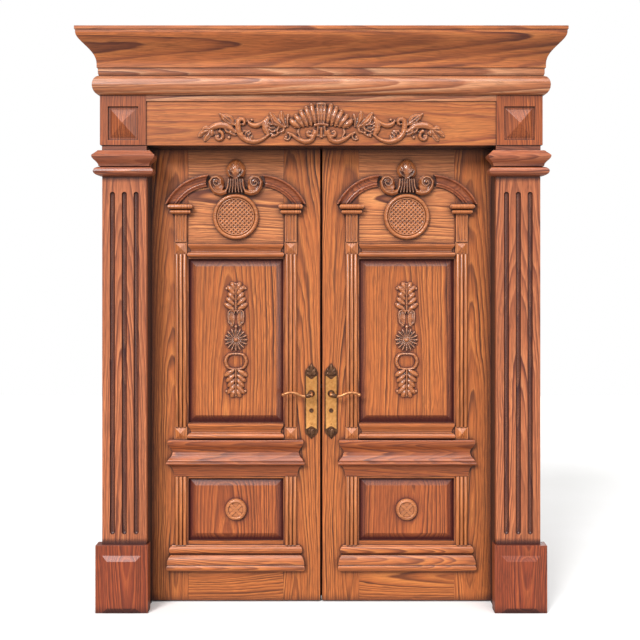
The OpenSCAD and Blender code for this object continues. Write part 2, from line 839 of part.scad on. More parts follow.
// Panel with a tongue all round and a bevelled field on both faces
module panel(z0, z1) {
    rise = mid_y - groove_w / 2 - field_sink;
    color(wood) {
        tongue(z0, z1);
        for (face = [0, 1])
            translate([axis_x, mid_y, (z0 + z1) / 2]) mirror([0, face, 0])
                translate([0, seat - groove_w / 2, 0])
                    bevelled_field(2 * panel_half, z1 - z0, field_bevel, rise + seat);
    }
}

module upper_panel() panel(up_z0, up_z1);

module lower_panel() panel(low_z0, low_z1);

// Leaf mouldings

// Waist moulding: a swept band over a nosed slope and a cove
module waist() {
    h = waist_h;
    profile = concat(
        cove(0, h * 0.32, waist_out * 0.15, waist_out * 0.8),
        torus(h * 0.33, h * 0.42, waist_out * 0.78, waist_out * 0.22),
        cyma(h * 0.43, h * 0.6, waist_out * 0.84, waist_out * 0.38),
        [[h * 0.66, waist_out * 0.3]],
        cyma(h * 0.68, h * 0.92, waist_out * 0.34, waist_out * 0.84),
        [[h * 0.98, waist_out * 0.84], [h, waist_out * 0.76]]);
    color(wood_dark) on_leaf(waist_z) mitred(profile, belt_half - waist_out);
}

// Base moulding: a small band, a pinch and a nosed cove
module base() {
    h = base_h;
    profile = concat(
        torus(0, h * 0.27, base_out * 0.6, base_out * 0.4),
        cove(h * 0.27, h * 0.64, base_out * 0.92, base_out * 0.2),
        torus(h * 0.67, h * 0.96, base_out * 0.3, base_out * 0.34),
        [[h, base_out * 0.24]]);
    color(wood_dark) on_leaf(base_z) mitred(profile, belt_half - base_out);
}

// Mouldings under and over the upper panel
module panel_bars() {
    color(wood_dark) {
        on_leaf(bar_z) mitred(bar_profile(bar_h), bar_half - bar_out);
        on_leaf(waist_top) mitred(bar_profile(sill_h), bar_half - bar_out);
    }
}

// Torus, fillet and hollow of a panel moulding
function bar_profile(h) = concat(
    torus(0, h * 0.4, bar_out * 0.35, bar_out * 0.65),
    [[h * 0.44, bar_out * 0.3], [h * 0.5, bar_out * 0.3]],
    cyma(h * 0.54, h * 0.9, bar_out * 0.35, bar_out * 0.85),
    [[h, bar_out * 0.85]]);

// Strip of side-by-side reeds between two heights
module reeded_strip(z0, z1) {
    reed_r = column_w / (2 * reeds);
    intersection() {
        union() {
            box([-column_w / 2, reed_r - column_out, z0], [column_w / 2, 0, z1]);
            for (i = [0:reeds - 1])
                translate([(2 * i + 1) * reed_r - column_w / 2, reed_r - column_out, z0])
                    cylinder(r = reed_r, h = z1 - z0);
        }
        box([-column_w, -2 * column_out, z0], [column_w, 0, z1]);
    }
}

// Square block with a pointed face, standing on a height
module corner_block(z) {
    half = corner_s / 2;
    box([-half, -column_out / 2, z], [half, 0, z + corner_s]);
    translate([0, seat - column_out / 2, z + half])
        pointed_boss(corner_s - 6, corner_s - 6, column_out + seat);
}

// Fluted side column with its capital
module side_column() {
    flute_r = column_w / 10;
    difference() {
        box([-column_w / 2, -column_out, column_z], [column_w / 2, 0, small_cap_z]);
        for (i = [-1:1])
            translate([i * column_w * 0.29, -column_out - flute_r * 0.2, column_z + column_h * 0.08]) {
                cylinder(r = flute_r, h = column_h * 0.84);
                for (z = [0, column_h * 0.84]) translate([0, 0, z]) sphere(r = flute_r);
            }
    }
    out = (small_cap_w - column_w) / 2;
    h = small_cap_h;
    profile = concat(
        torus(0, h * 0.42, out * 0.3, out * 0.4),
        [[h * 0.46, out * 0.35]],
        torus(h * 0.5, h, out * 0.55, out * 0.45));
    translate([0, 0, small_cap_z]) mitred(profile, column_w / 2, column_out, -column_out);
}

// Side columns, corner blocks and reeded strips of one leaf
module columns() {
    color(wood_dark) on_leaf() both_sides() translate([column_x, 0, 0]) {
        reeded_strip(base_z + base_h, waist_z);
        corner_block(waist_top);
        reeded_strip(waist_top + corner_s, column_z - corner_s);
        corner_block(column_z - corner_s);
        side_column();
    }
}

// Hollowed arch moulding in two halves that end at the scrolls
module arch() {
    r0 = arch_r - arch_w;
    profile = concat(
        [[r0, 0], [r0, arch_out * 0.3], [r0 + arch_w * 0.14, arch_out * 0.34]],
        torus(r0 + arch_w * 0.16, r0 + arch_w * 0.36, arch_out * 0.38, arch_out * 0.16),
        cove(r0 + arch_w * 0.4, r0 + arch_w * 0.86, arch_out * 0.42, arch_out * 0.97),
        [[arch_r, arch_out], [arch_r, 0]]);
    color(wood_dark) on_leaf() both_sides() difference() {
        translate([arch_x, 0, arch_z]) rotate([90, 0, 0]) rotate([0, 0, arch_foot])
            rotate_extrude(angle = 90 - arch_foot, $fn = 96) polygon(profile);
        box([0, -2 * arch_out, cap_top_z - arch_w], [2 * arch_half, 1, cap_top_z]);
        translate([scroll_x, 1, scroll_z]) rotate([90, 0, 0]) cylinder(r = scroll_cut, h = 2 * arch_out);
    }
}

// Keystone: a veined leaf over a fluted throat between two scrolls
module keystone() {
    h = key_relief;
    z0 = arch_top - key_h * 0.24;
    eye = [scroll_x, scroll_z];
    throat = key_h * 0.62;
    color(wood_dark) on_leaf() {
        stroke([for (i = [0:6]) [0, z0 + key_h * i / 6]],
            function(t) key_w / 2 * pow(sin(16 + 158 * t), 0.6), swell(h * 0.42, h * 0.84));
        for (i = [0:3], side = [-1, 1])
            lobe([0, z0 + key_h * (0.04 + 0.19 * i)], 90 - side * (54 - 3 * i),
                key_w * (0.6 - 0.085 * i), side * 12, key_w * 0.075, h * (0.98 - 0.04 * i));
        for (i = [-3:3])
            stroke([[i * 16, z0 - throat], [i * 12, z0 - throat / 2], [i * 11, z0 + 6]], swell(6, 8),
                taper(h * 0.72, h * 0.8));
        both_sides() {
            stroke(concat(
                curve([[46, z0 - throat + 6], [74, z0 - throat - 2], [102, z0 - throat + 6]]),
                spiral(eye, scroll_r - 2, 9, -42, 430, 10)),
                taper(scroll_body, 6), taper(h * 0.74, h * 0.94));
            bead(eye, scroll_r * 1.08, h * 0.7, 10);
            bead(eye - [scroll_r * 0.2, scroll_r * 0.66], scroll_r * 0.94, h * 0.72, 10);
            bead(eye, 9, h);
        }
    }
}

// Lattice rosette of the top rail and strapped button of the lower panel
module rosettes() {
    ring_in = rosette_r - rosette_ring;
    ring_h = rosette_ring * 0.9;
    bars = floor(ring_in / lattice_pitch - 0.3);
    color(wood_dark) {
        on_leaf(rosette_z) rotate([90, 0, 0]) {
            rotate_extrude($fn = 96) polygon(concat(
                [[ring_in, 0]],
                torus(ring_in, ring_in + rosette_ring * 0.24, ring_h * 0.5, ring_h * 0.16),
                torus(ring_in + rosette_ring * 0.26, rosette_r, ring_h * 0.3, ring_h * 0.7),
                [[rosette_r, 0]]));
            intersection() {
                cylinder(r = ring_in + seat, h = ring_h * 0.46);
                union() {
                    cylinder(r = ring_in + seat, h = ring_h * 0.22);
                    for (turn = [45, -45], i = [-bars:bars])
                        rotate([0, 0, turn]) translate([i * lattice_pitch, 0, 0])
                            linear_extrude(ring_h * 0.46)
                                square([lattice_pitch * 0.42, 3 * rosette_r], center = true);
                }
            }
        }
        on_leaf(button_z, field_sink) rotate([90, 0, 0]) {
            rotate_extrude() polygon(concat(
                [[0, 0]], [[button_r, 0]],
                [for (i = [0:6]) [button_r * (1 - 0.14 * (1 - cos(15 * i))), button_r * 0.36 * sin(15 * i)]],
                [[button_r * 0.7, button_r * 0.24], [0, button_r * 0.24]]));
            for (turn = [45, -45])
                rotate([0, 0, turn]) translate([-button_r * 0.75, -button_r * 0.13, 0])
                    cube([button_r * 1.5, button_r * 0.26, button_r * 0.33]);
        }
    }
}

// Hanging carving of the upper panel: leaves, bells, a flower and scrolls
module panel_carving() {
    h = drop_relief;
    top = DROP_DRAWING[1] / 2;
    grow = drop_h / DROP_DRAWING[1];
    color(wood_dark) on_leaf(drop_z, field_sink) scale([grow, 1, grow]) {
        upright_leaf(top, 1, h);
        bells(top, h);
        flower(h);
        paired_scrolls(top, h);
        upright_leaf(-top, -1, h);
    }
}

// Leaf that spreads towards one end of the panel carving
module upright_leaf(end, way, h) {
    root = end - way * 138;
    stroke([[0, root], [0, root + way * 46], [0, root + way * 100], [0, end - way * 14]],
        function(t) 10 + 26 * sin(20 + 150 * t), swell(h * 0.4, h * 0.5));
    stroke([[0, root], [0, end - way * 60], [0, end]], taper(6, 9), taper(h, h * 0.8));
    both_sides() {
        for (i = [0:3])
            lobe([3, root + way * (2 + 24 * i)], way * (34 + 7 * i), 62 - 5 * i, way * 6, 12.5,
                h * (1 - 0.05 * i));
        bead([45, root + way * 30], 8, h * 0.8);
        bead([45, end - way * 26], 9, h * 0.85);
        lobe([5, end - way * 52], way * 42, 50, way * 4, 10, h * 0.9);
        lobe([4, end - way * 40], way * 66, 44, way * 16, 10, h * 0.9);
    }
}

// Pair of veined bells under the upper leaf
module bells(top, h) {
    both_sides() {
        stroke([[19, top - 212], [21, top - 172], [20, top - 130]], swell(9, 19), swell(h * 0.5, h * 0.75));
        stroke(concat(
            [[14, top - 210], [35, top - 192], [38, top - 160]],
            spiral([21, top - 146], 16, 15, 20, 190, 4)),
            taper(4, 5), taper(h * 0.9, h));
        stroke([[20, top - 206], [20, top - 146]], taper(3, 3), taper(h * 0.95, h));
    }
    bead([0, top - 212], 10, h);
}

// Flower of touching petals round a bead
module flower(h) {
    petals = 16;
    reach = [13, 46, 57];
    for (i = [0:petals - 1])
        stroke([for (r = reach) r * [cos(360 * i / petals), sin(360 * i / petals)]],
            function(t) 2 + 6.5 * sin(180 * t) + t, swell(h * 0.6, h * 1.05), GABLE);
    bead([0, 0], 13, h * 1.15);
}

// Two scrolls that close into a ring
module paired_scrolls(top, h) {
    z = -top + 170;
    both_sides()
        stroke(curve([[4, z + 38], [36, z + 33], [51, z], [34, z - 33], [6, z - 34]]), swell(4, 10),
            swell(h * 0.6, h));
    bead([0, z + 38], 7, h);
}

// Ironmongery

// Jamb halves of the hinges, each with its pin
module jamb_hinge() {
    for (z = hinge_heights()) translate([0, 0, z]) {
        box([rebate_half, leaf_t - plate_w, -hinge_h / 2], [rebate_half + plate_t, leaf_t, hinge_h / 2]);
        difference() {
            box([rebate_half, leaf_t - eps, -hinge_h / 2], [rebate_half + plate_t, pivot_y, 0]);
            translate([pivot_x, pivot_y, -hinge_h]) cylinder(r = pin_r, h = 2 * hinge_h);
        }
        translate([pivot_x, pivot_y, -hinge_h / 2]) {
            cylinder(r = barrel_r, h = hinge_h / 2);
            cylinder(r = pin_r, h = hinge_h * 0.9);
        }
    }
}

module jamb_hinges() {
    color(bronze) {
        right() jamb_hinge();
        left() jamb_hinge();
    }
}

// Leaf halves of the hinges, bored for the pins
module leaf_hinges() {
    color(bronze) for (z = hinge_heights()) translate([0, 0, z]) {
        box([hinge_edge - plate_t, leaf_t - plate_w, -hinge_h / 2], [hinge_edge, leaf_t, hinge_h / 2]);
        difference() {
            union() {
                box([hinge_edge - plate_t, leaf_t - eps, knuckle_gap], [hinge_edge, pivot_y, hinge_h / 2]);
                translate([pivot_x, pivot_y, knuckle_gap])
                    cylinder(r = barrel_r, h = hinge_h / 2 - knuckle_gap);
            }
            translate([pivot_x, pivot_y, -1]) cylinder(r = pin_r + pin_clear, h = hinge_h * 0.42);
        }
    }
}

// Half-width of a finial at a share of its height
function ogee(t) = (1 + cos(180 * pow(t, 1.6))) / 2;

// Outline of a back plate with its leaf-shaped finials, as (x, z)
function plate_outline(n = 8) =
    let (half = handle_w / 2, z0 = handle_z0, z1 = handle_z0 + handle_h)
    concat(
        [for (i = [0:n]) [half * ogee(i / n), z1 + finial_top * i / n]],
        [for (i = [n - 1:-1:0]) [-half * ogee(i / n), z1 + finial_top * i / n]],
        [for (i = [0:n]) [-half * ogee(i / n), z0 - finial_foot * i / n]],
        [for (i = [n - 1:-1:0]) [half * ogee(i / n), z0 - finial_foot * i / n]]);

// One back plate on the face of the leaf
module handle_plate() {
    translate([handle_x, 0, 0]) difference() {
        union() {
            along_y(-handle_t, 0, plate_outline());
            translate([0, 0, lever_z]) rotate([90, 0, 0]) cylinder(r = rose_r, h = handle_t + rose_t);
        }
        translate([0, 1, lever_z]) rotate([90, 0, 0])
            cylinder(r = neck_r + slide_clear, h = handle_t + rose_t + 2);
        translate([0, 1, key_z]) rotate([90, 0, 0]) cylinder(r = neck_r * 0.6, h = handle_t + 2);
    }
}

// Front and rear back plates
module handle_plates() {
    color(gold) {
        handle_plate();
        to_rear() handle_plate();
    }
}

// Mirror image on the rear face of the leaf
module to_rear() translate([0, leaf_t, 0]) mirror([0, 1, 0]) children();

// Neck and S-shaped grip on one face of the leaf
module lever_half() {
    grip_y = -handle_t - rose_t - lever_reach;
    s = lever_sweep;
    rotate([90, 0, 0]) cylinder(r = neck_r, h = -grip_y);
    translate([0, grip_y, 0]) rotate([90, 0, 0]) {
        sphere(r = neck_r);
        translate([lever_dip_r * sin(s), lever_dip_r * cos(s), 0]) rotate([0, 0, 270 - s])
            rotate_extrude(angle = 2 * s) translate([lever_dip_r, 0]) circle(r = grip_r);
        translate([(2 * lever_dip_r + lever_rise_r) * sin(s), -lever_rise_r * cos(s), 0])
            rotate([0, 0, 90 - s])
                rotate_extrude(angle = 2 * s) translate([lever_rise_r, 0]) circle(r = grip_r);
        translate([lever_len, 0, 0]) sphere(r = ball_r);
    }
}

// Front and rear levers on one spindle
module lever() {
    color(gold) translate([handle_x, 0, lever_z]) {
        lever_half();
        to_rear() lever_half();
        rotate([-90, 0, 0]) cylinder(r = spindle_r, h = leaf_t);
    }
}

// Blank of a lock case and of its forend
module case_body()
    box([case_x0, mid_y - case_t / 2, case_z0], [case_x0 + case_d, mid_y + case_t / 2, case_z1]);

module forend_plate()
    box([meet_edge, mid_y - forend_w / 2, case_z0 - forend_over],
        [case_x0, mid_y + forend_w / 2, case_z1 + forend_over]);

// Straight way for a bolt into the meeting edge, to a depth
module bolt_way(z, h, t, depth)
    box([meet_edge - 1, mid_y - t / 2 - slide_clear, z - h / 2 - slide_clear],
        [meet_edge + depth, mid_y + t / 2 + slide_clear, z + h / 2 + slide_clear]);

// Mortice lock of the right leaf, with ways for its latch and dead bolt
module lock_case() {
    color(steel) difference() {
        union() {
            case_body();
            forend_plate();
        }
        bolt_way(latch_z, latch_h, latch_t, bolt_tail + latch_out + 1);
        bolt_way(key_z, bolt_h, bolt_t, bolt_tail + 1);
        spindle_hole();
    }
}

// Shoot-bolt case of the left leaf, with keeps for the latch and the dead bolt
module keep_case() {
    color(steel) difference() {
        union() {
            case_body();
            forend_plate();
        }
        bolt_way(latch_z, latch_h + 2, latch_t + 2, latch_out);
        bolt_way(key_z, bolt_h + 2, bolt_t + 2, bolt_throw);
        spindle_hole();
        for (z = [case_z0 - 1, case_z1 - rod_in - 1])
            translate([rod_x, mid_y, z]) cylinder(r = rod_r + slide_clear, h = rod_in + 2);
    }
}

// Holes for the spindle and the key
module spindle_hole() {
    translate([handle_x, 0, lever_z]) rotate([-90, 0, 0]) cylinder(r = spindle_r + slide_clear, h = leaf_t);
    translate([handle_x, 0, key_z]) rotate([-90, 0, 0]) cylinder(r = neck_r * 0.6, h = leaf_t);
}

// Spring latch with a sloping nose
module latch_bolt() {
    color(steel) translate([meet_edge, mid_y, latch_z - latch_h / 2]) linear_extrude(latch_h)
        polygon([[bolt_tail, -latch_t / 2], [bolt_tail, latch_t / 2], [-latch_out, latch_t / 2],
            [-latch_out, latch_t / 4], [0, -latch_t / 2]]);
}

// Dead bolt, drawn back
module dead_bolt() {
    color(steel) box([meet_edge, mid_y - bolt_t / 2, key_z - bolt_h / 2],
        [meet_edge + bolt_tail, mid_y + bolt_t / 2, key_z + bolt_h / 2]);
}

// Shoot bolts of the left leaf, drawn back
module top_bolt() {
    color(steel) translate([rod_x, mid_y, case_z1 - rod_in])
        cylinder(r = rod_r, h = leaf_top - case_z1 + rod_in);
}

module foot_bolt() {
    color(steel) translate([rod_x, mid_y, floor_gap])
        cylinder(r = rod_r, h = case_z0 + rod_in - floor_gap);
}

left() jamb();  // left_jamb
right() jamb();  // right_jamb
right() head_jamb();
left() shaft();  // left_shaft
right() shaft();  // right_shaft
left() plinth();  // left_plinth
right() plinth();  // right_plinth
left() capital();  // left_capital
right() capital();  // right_capital
left() frieze_block();  // left_frieze_block
right() frieze_block();  // right_frieze_block
right() frieze_panel();
right() frieze_carving();
right() bed_moulding();
right() crown_moulding();
right() cornice_cap();
jamb_hinges();
left() hinge_stile();  // left_hinge_stile
left() lock_stile(true);  // left_lock_stile
left() top_rail();  // left_top_rail
left() lock_rail();  // left_lock_rail
left() bottom_rail();  // left_bottom_rail
left() upper_panel();  // left_upper_panel
left() lower_panel();  // left_lower_panel
left() arch();  // left_arch
left() keystone();  // left_keystone
left() rosettes();  // left_rosettes
left() panel_bars();  // left_panel_bars
left() columns();  // left_columns
left() panel_carving();  // left_panel_carving
left() waist();  // left_waist
left() base();  // left_base
left() leaf_hinges();  // left_hinges
left() handle_plates();  // left_handle_plates
left() keep_case();  // left_lock_case
left() lever();  // left_lever
right() hinge_stile();  // right_hinge_stile
right() lock_stile(false);  // right_lock_stile
right() top_rail();  // right_top_rail
right() lock_rail();  // right_lock_rail
right() bottom_rail();  // right_bottom_rail
right() upper_panel();  // right_upper_panel
right() lower_panel();  // right_lower_panel
right() arch();  // right_arch
right() keystone();  // right_keystone
right() rosettes();  // right_rosettes
right() panel_bars();  // right_panel_bars
right() columns();  // right_columns
right() panel_carving();  // right_panel_carving
right() waist();  // right_waist
right() base();  // right_base
right() leaf_hinges();  // right_hinges
right() handle_plates();  // right_handle_plates
right() lock_case();  // right_lock_case
right() lever();  // right_lever
right() latch_bolt();
right() dead_bolt();
left() top_bolt();
left() foot_bolt();
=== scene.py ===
"""Looks of a carved ash double door in its pilastered surround, dressed on its CAD frame."""

import logging
import math
from dataclasses import dataclass
from enum import Enum
from typing import Callable, Self, Sequence, Union

import bpy
from mathutils import Matrix, Vector


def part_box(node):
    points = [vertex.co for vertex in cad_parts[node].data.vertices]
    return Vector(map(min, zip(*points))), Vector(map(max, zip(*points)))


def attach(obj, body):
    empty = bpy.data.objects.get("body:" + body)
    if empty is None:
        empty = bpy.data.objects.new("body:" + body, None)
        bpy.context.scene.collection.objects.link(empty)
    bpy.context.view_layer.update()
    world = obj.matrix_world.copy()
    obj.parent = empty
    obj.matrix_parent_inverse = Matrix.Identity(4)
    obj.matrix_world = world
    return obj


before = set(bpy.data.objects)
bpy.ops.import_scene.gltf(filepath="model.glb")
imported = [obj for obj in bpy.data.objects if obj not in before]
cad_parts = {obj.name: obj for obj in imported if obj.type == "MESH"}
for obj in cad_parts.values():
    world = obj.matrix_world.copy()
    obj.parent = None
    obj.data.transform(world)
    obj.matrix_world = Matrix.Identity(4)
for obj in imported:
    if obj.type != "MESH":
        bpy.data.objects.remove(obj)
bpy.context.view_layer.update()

logging.basicConfig(level=logging.INFO, format="%(name)s: %(message)s")
log = logging.getLogger("double_door")

Colour = tuple[float, float, float]
Point = tuple[float, float, float]
Pair = tuple[float, float]
Material = bpy.types.Material
Node = bpy.types.ShaderNode
Socket = bpy.types.NodeSocket
Value = Union[float, Socket]
Inputs = dict[Union[int, str], object]
Span = tuple[float, float, float, float]
Run = tuple[Vector, Vector, float, float]

WELD_GAP = 0.00002
SHARP_ANGLE = 35.0
ROUND_ANGLE = 60.0
FACING = 0.9
NEAR = 0.001
CARVED_CELL = 0.0019
MATT = 0.9
TO_FRONT = (math.pi / 2, 0.0, 0.0)


def tone(red: float, green: float, blue: float) -> Colour:
    """The linear colour that a node takes for a display colour of 0 to 255."""
    parts = [c / 255 for c in (red, green, blue)]
    return tuple(c / 12.92 if c <= 0.04045 else ((c + 0.055) / 1.055) ** 2.4 for c in parts)


def scatter(number: int, salt: float) -> float:
    """A fixed fraction between 0 and 1, by a board's number and a salt that tells its values apart."""
    return (math.sin(number * 12.9898 + salt * 78.233) * 43758.5453) % 1.0


def in_front(normal: Vector) -> bool:
    """Whether a face looks to the front."""
    return normal.y < -FACING


def adjust(thing: object, settings: dict[str, object]) -> object:
    """Sets properties of a node or a modifier.

    Args:
        thing: The node or modifier.
        settings: Names and values.

    Returns:
        The same thing.
    """
    for key, value in settings.items():
        setattr(thing, key, value)
    return thing


class Grain(Enum):
    """The way a board's grain runs, as the turn that brings it upright."""

    UPRIGHT = (0.0, 0.0, 0.0)
    LEVEL = (0.0, -math.pi / 2, 0.0)


class Side(Enum):
    """The two halves of the doorway, seen from the front."""

    LEFT = "left"
    RIGHT = "right"

    @property
    def way(self) -> float:
        """Sign of X on this side."""
        return 1.0 if self is Side.RIGHT else -1.0


class Recipe:
    """A material's node tree, with short ways to add and join its nodes."""

    def __init__(self, name: str) -> None:
        """Starts a material.

        Args:
            name: The material's name.
        """
        self.material = bpy.data.materials.new(name)
        self.material.use_nodes = True
        self.tree = self.material.node_tree
        self.shader = self.tree.nodes["Principled BSDF"]

    def fill(self, node: Node, inputs: Inputs) -> None:
        """Joins or sets a node's inputs.

        Args:
            node: The node.
            inputs: Their names or numbers, with a socket or a constant each.
        """
        for key, value in inputs.items():
            if isinstance(value, Socket):
                self.tree.links.new(value, node.inputs[key])
            else:
                node.inputs[key].default_value = value

    def add(self, kind: str, inputs: Inputs, **settings: object) -> Node:
        """Adds a node.

        Args:
            kind: The node's type, without its prefix.
            inputs: Its inputs, as fill takes them.
            settings: Properties to set on it.

        Returns:
            The node.
        """
        node = adjust(self.tree.nodes.new("ShaderNode" + kind), settings)
        self.fill(node, inputs)
        return node

    def place(self) -> Socket:
        """The object's own coordinates."""
        return self.add("TexCoord", {}).outputs["Object"]

    def math(self, operation: str, a: Value, b: Value = 0.0) -> Socket:
        """One sum on numbers."""
        return self.add("Math", {0: a, 1: b}, operation=operation).outputs[0]

    def stretch(self, place: Socket, factors: Point) -> Socket:
        """Coordinates multiplied along each axis."""
        return self.add("VectorMath", {0: place, 1: factors}, operation="MULTIPLY").outputs[0]

    def shift(self, place: Socket, move: object) -> Socket:
        """Coordinates moved along each axis."""
        return self.add("VectorMath", {0: place, 1: move}, operation="ADD").outputs[0]

    def span(self, value: Value, low: float, high: float, start: float = 0.0, end: float = 1.0) -> Socket:
        """Stretches the range from low to high onto the range from start to end, and keeps within it."""
        return self.add("MapRange", dict(enumerate((value, low, high, start, end))), clamp=True).outputs[0]

    def noise(self, place: Socket, scale: float, detail: float = 3.0, rough: float = 0.5,
              output: str = "Fac") -> Socket:
        """Cloudy noise about 0.5, with so many clouds to the metre; output Color gives three numbers."""
        inputs = {"Vector": place, "Scale": scale, "Detail": detail, "Roughness": rough}
        return self.add("TexNoise", inputs).outputs[output]

    def ramp(self, value: Socket, stops: Sequence[tuple[float, Colour]]) -> Socket:
        """Colours along a number.

        Args:
            value: The number, 0 to 1.
            stops: Places and colours.

        Returns:
            The colour.
        """
        node = self.add("ValToRGB", {0: value})
        marks = node.color_ramp.elements
        while len(marks) < len(stops):
            marks.new(0.5)
        for mark, (place, colour) in zip(marks, stops):
            mark.position = place
            mark.color = (*tone(*colour), 1.0)
        return node.outputs[0]

    def blend(self, share: Value, under: object, over: object, how: str = "MIX") -> Socket:
        """One colour laid over another.

        Args:
            share: How much of the upper colour shows.
            under: Lower colour, or a socket of it.
            over: Upper colour, or a socket of it.
            how: Way of laying it.

        Returns:
            The colour.
        """
        low, high = (c if isinstance(c, Socket) else (*tone(*c), 1.0) for c in (under, over))
        node = self.add("Mix", {}, data_type="RGBA", blend_type=how, clamp_factor=True)
        self.fill(node, {0: share, 6: low, 7: high})
        return node.outputs[2]

    def shelter(self, reach: float, inside: bool = False) -> Socket:
        """How far a spot lies in a hollow of this reach, or with inside, on an edge: 0 to 1."""
        node = self.add("AmbientOcclusion", {"Distance": reach}, samples=6, inside=inside, only_local=inside)
        return self.math("SUBTRACT", 1.0, node.outputs["AO"])

    def relief(self, height: Socket, distance: float, strength: float) -> None:
        """Puts fine relief on the surface, so many metres deep."""
        node = self.add("Bump", {"Strength": strength, "Distance": distance, "Height": height})
        self.fill(self.shader, {"Normal": node.outputs["Normal"]})


@dataclass(frozen=True)
class Ash:
    """How the timber grows and takes stain, alike in every board."""

    slide: Pair = (0.10, 0.6)
    board_step: Point = (1.7, 0.9, 2.3)
    sway_along: float = 0.22
    sway_scale: float = 5.0
    sway_detail: float = 4.0
    sway: Point = (0.08, 0.05, 0.0)
    heart_spread: float = 0.05
    heart_aside: float = 0.04
    season_scale: float = 34.0
    season_step: float = 3.1
    season_lag: float = 0.034
    vigour: Pair = (0.3, 1.0)
    pore_scale: Point = (420.0, 420.0, 9.0)
    pore_rough: float = 0.6
    marks: Point = (0.45, 0.8, 0.9)
    fade_scale: Point = (9.0, 9.0, 1.8)
    fade: Span = (0.38, 0.6, 0.4, 1.0)
    streak: Span = (0.36, 0.58, 0.56, 1.06)
    cloud_stretch: Point = (3.0, 3.0, 0.8)
    cloud_scale: float = 1.4
    cloud: Span = (0.3, 0.7, 0.86, 1.1)
    # Range of the edge mask over which the painted highlight rises.
    highlight_span: Pair = (0.3, 0.85)
    rough: Span = (0.3, 0.7, 0.56, 0.4)
    shine: float = 0.35
    pore_depth: float = 0.7
    gouge_scale: float = 170.0
    relief: Pair = (0.0005, 0.3)


ASH = Ash()


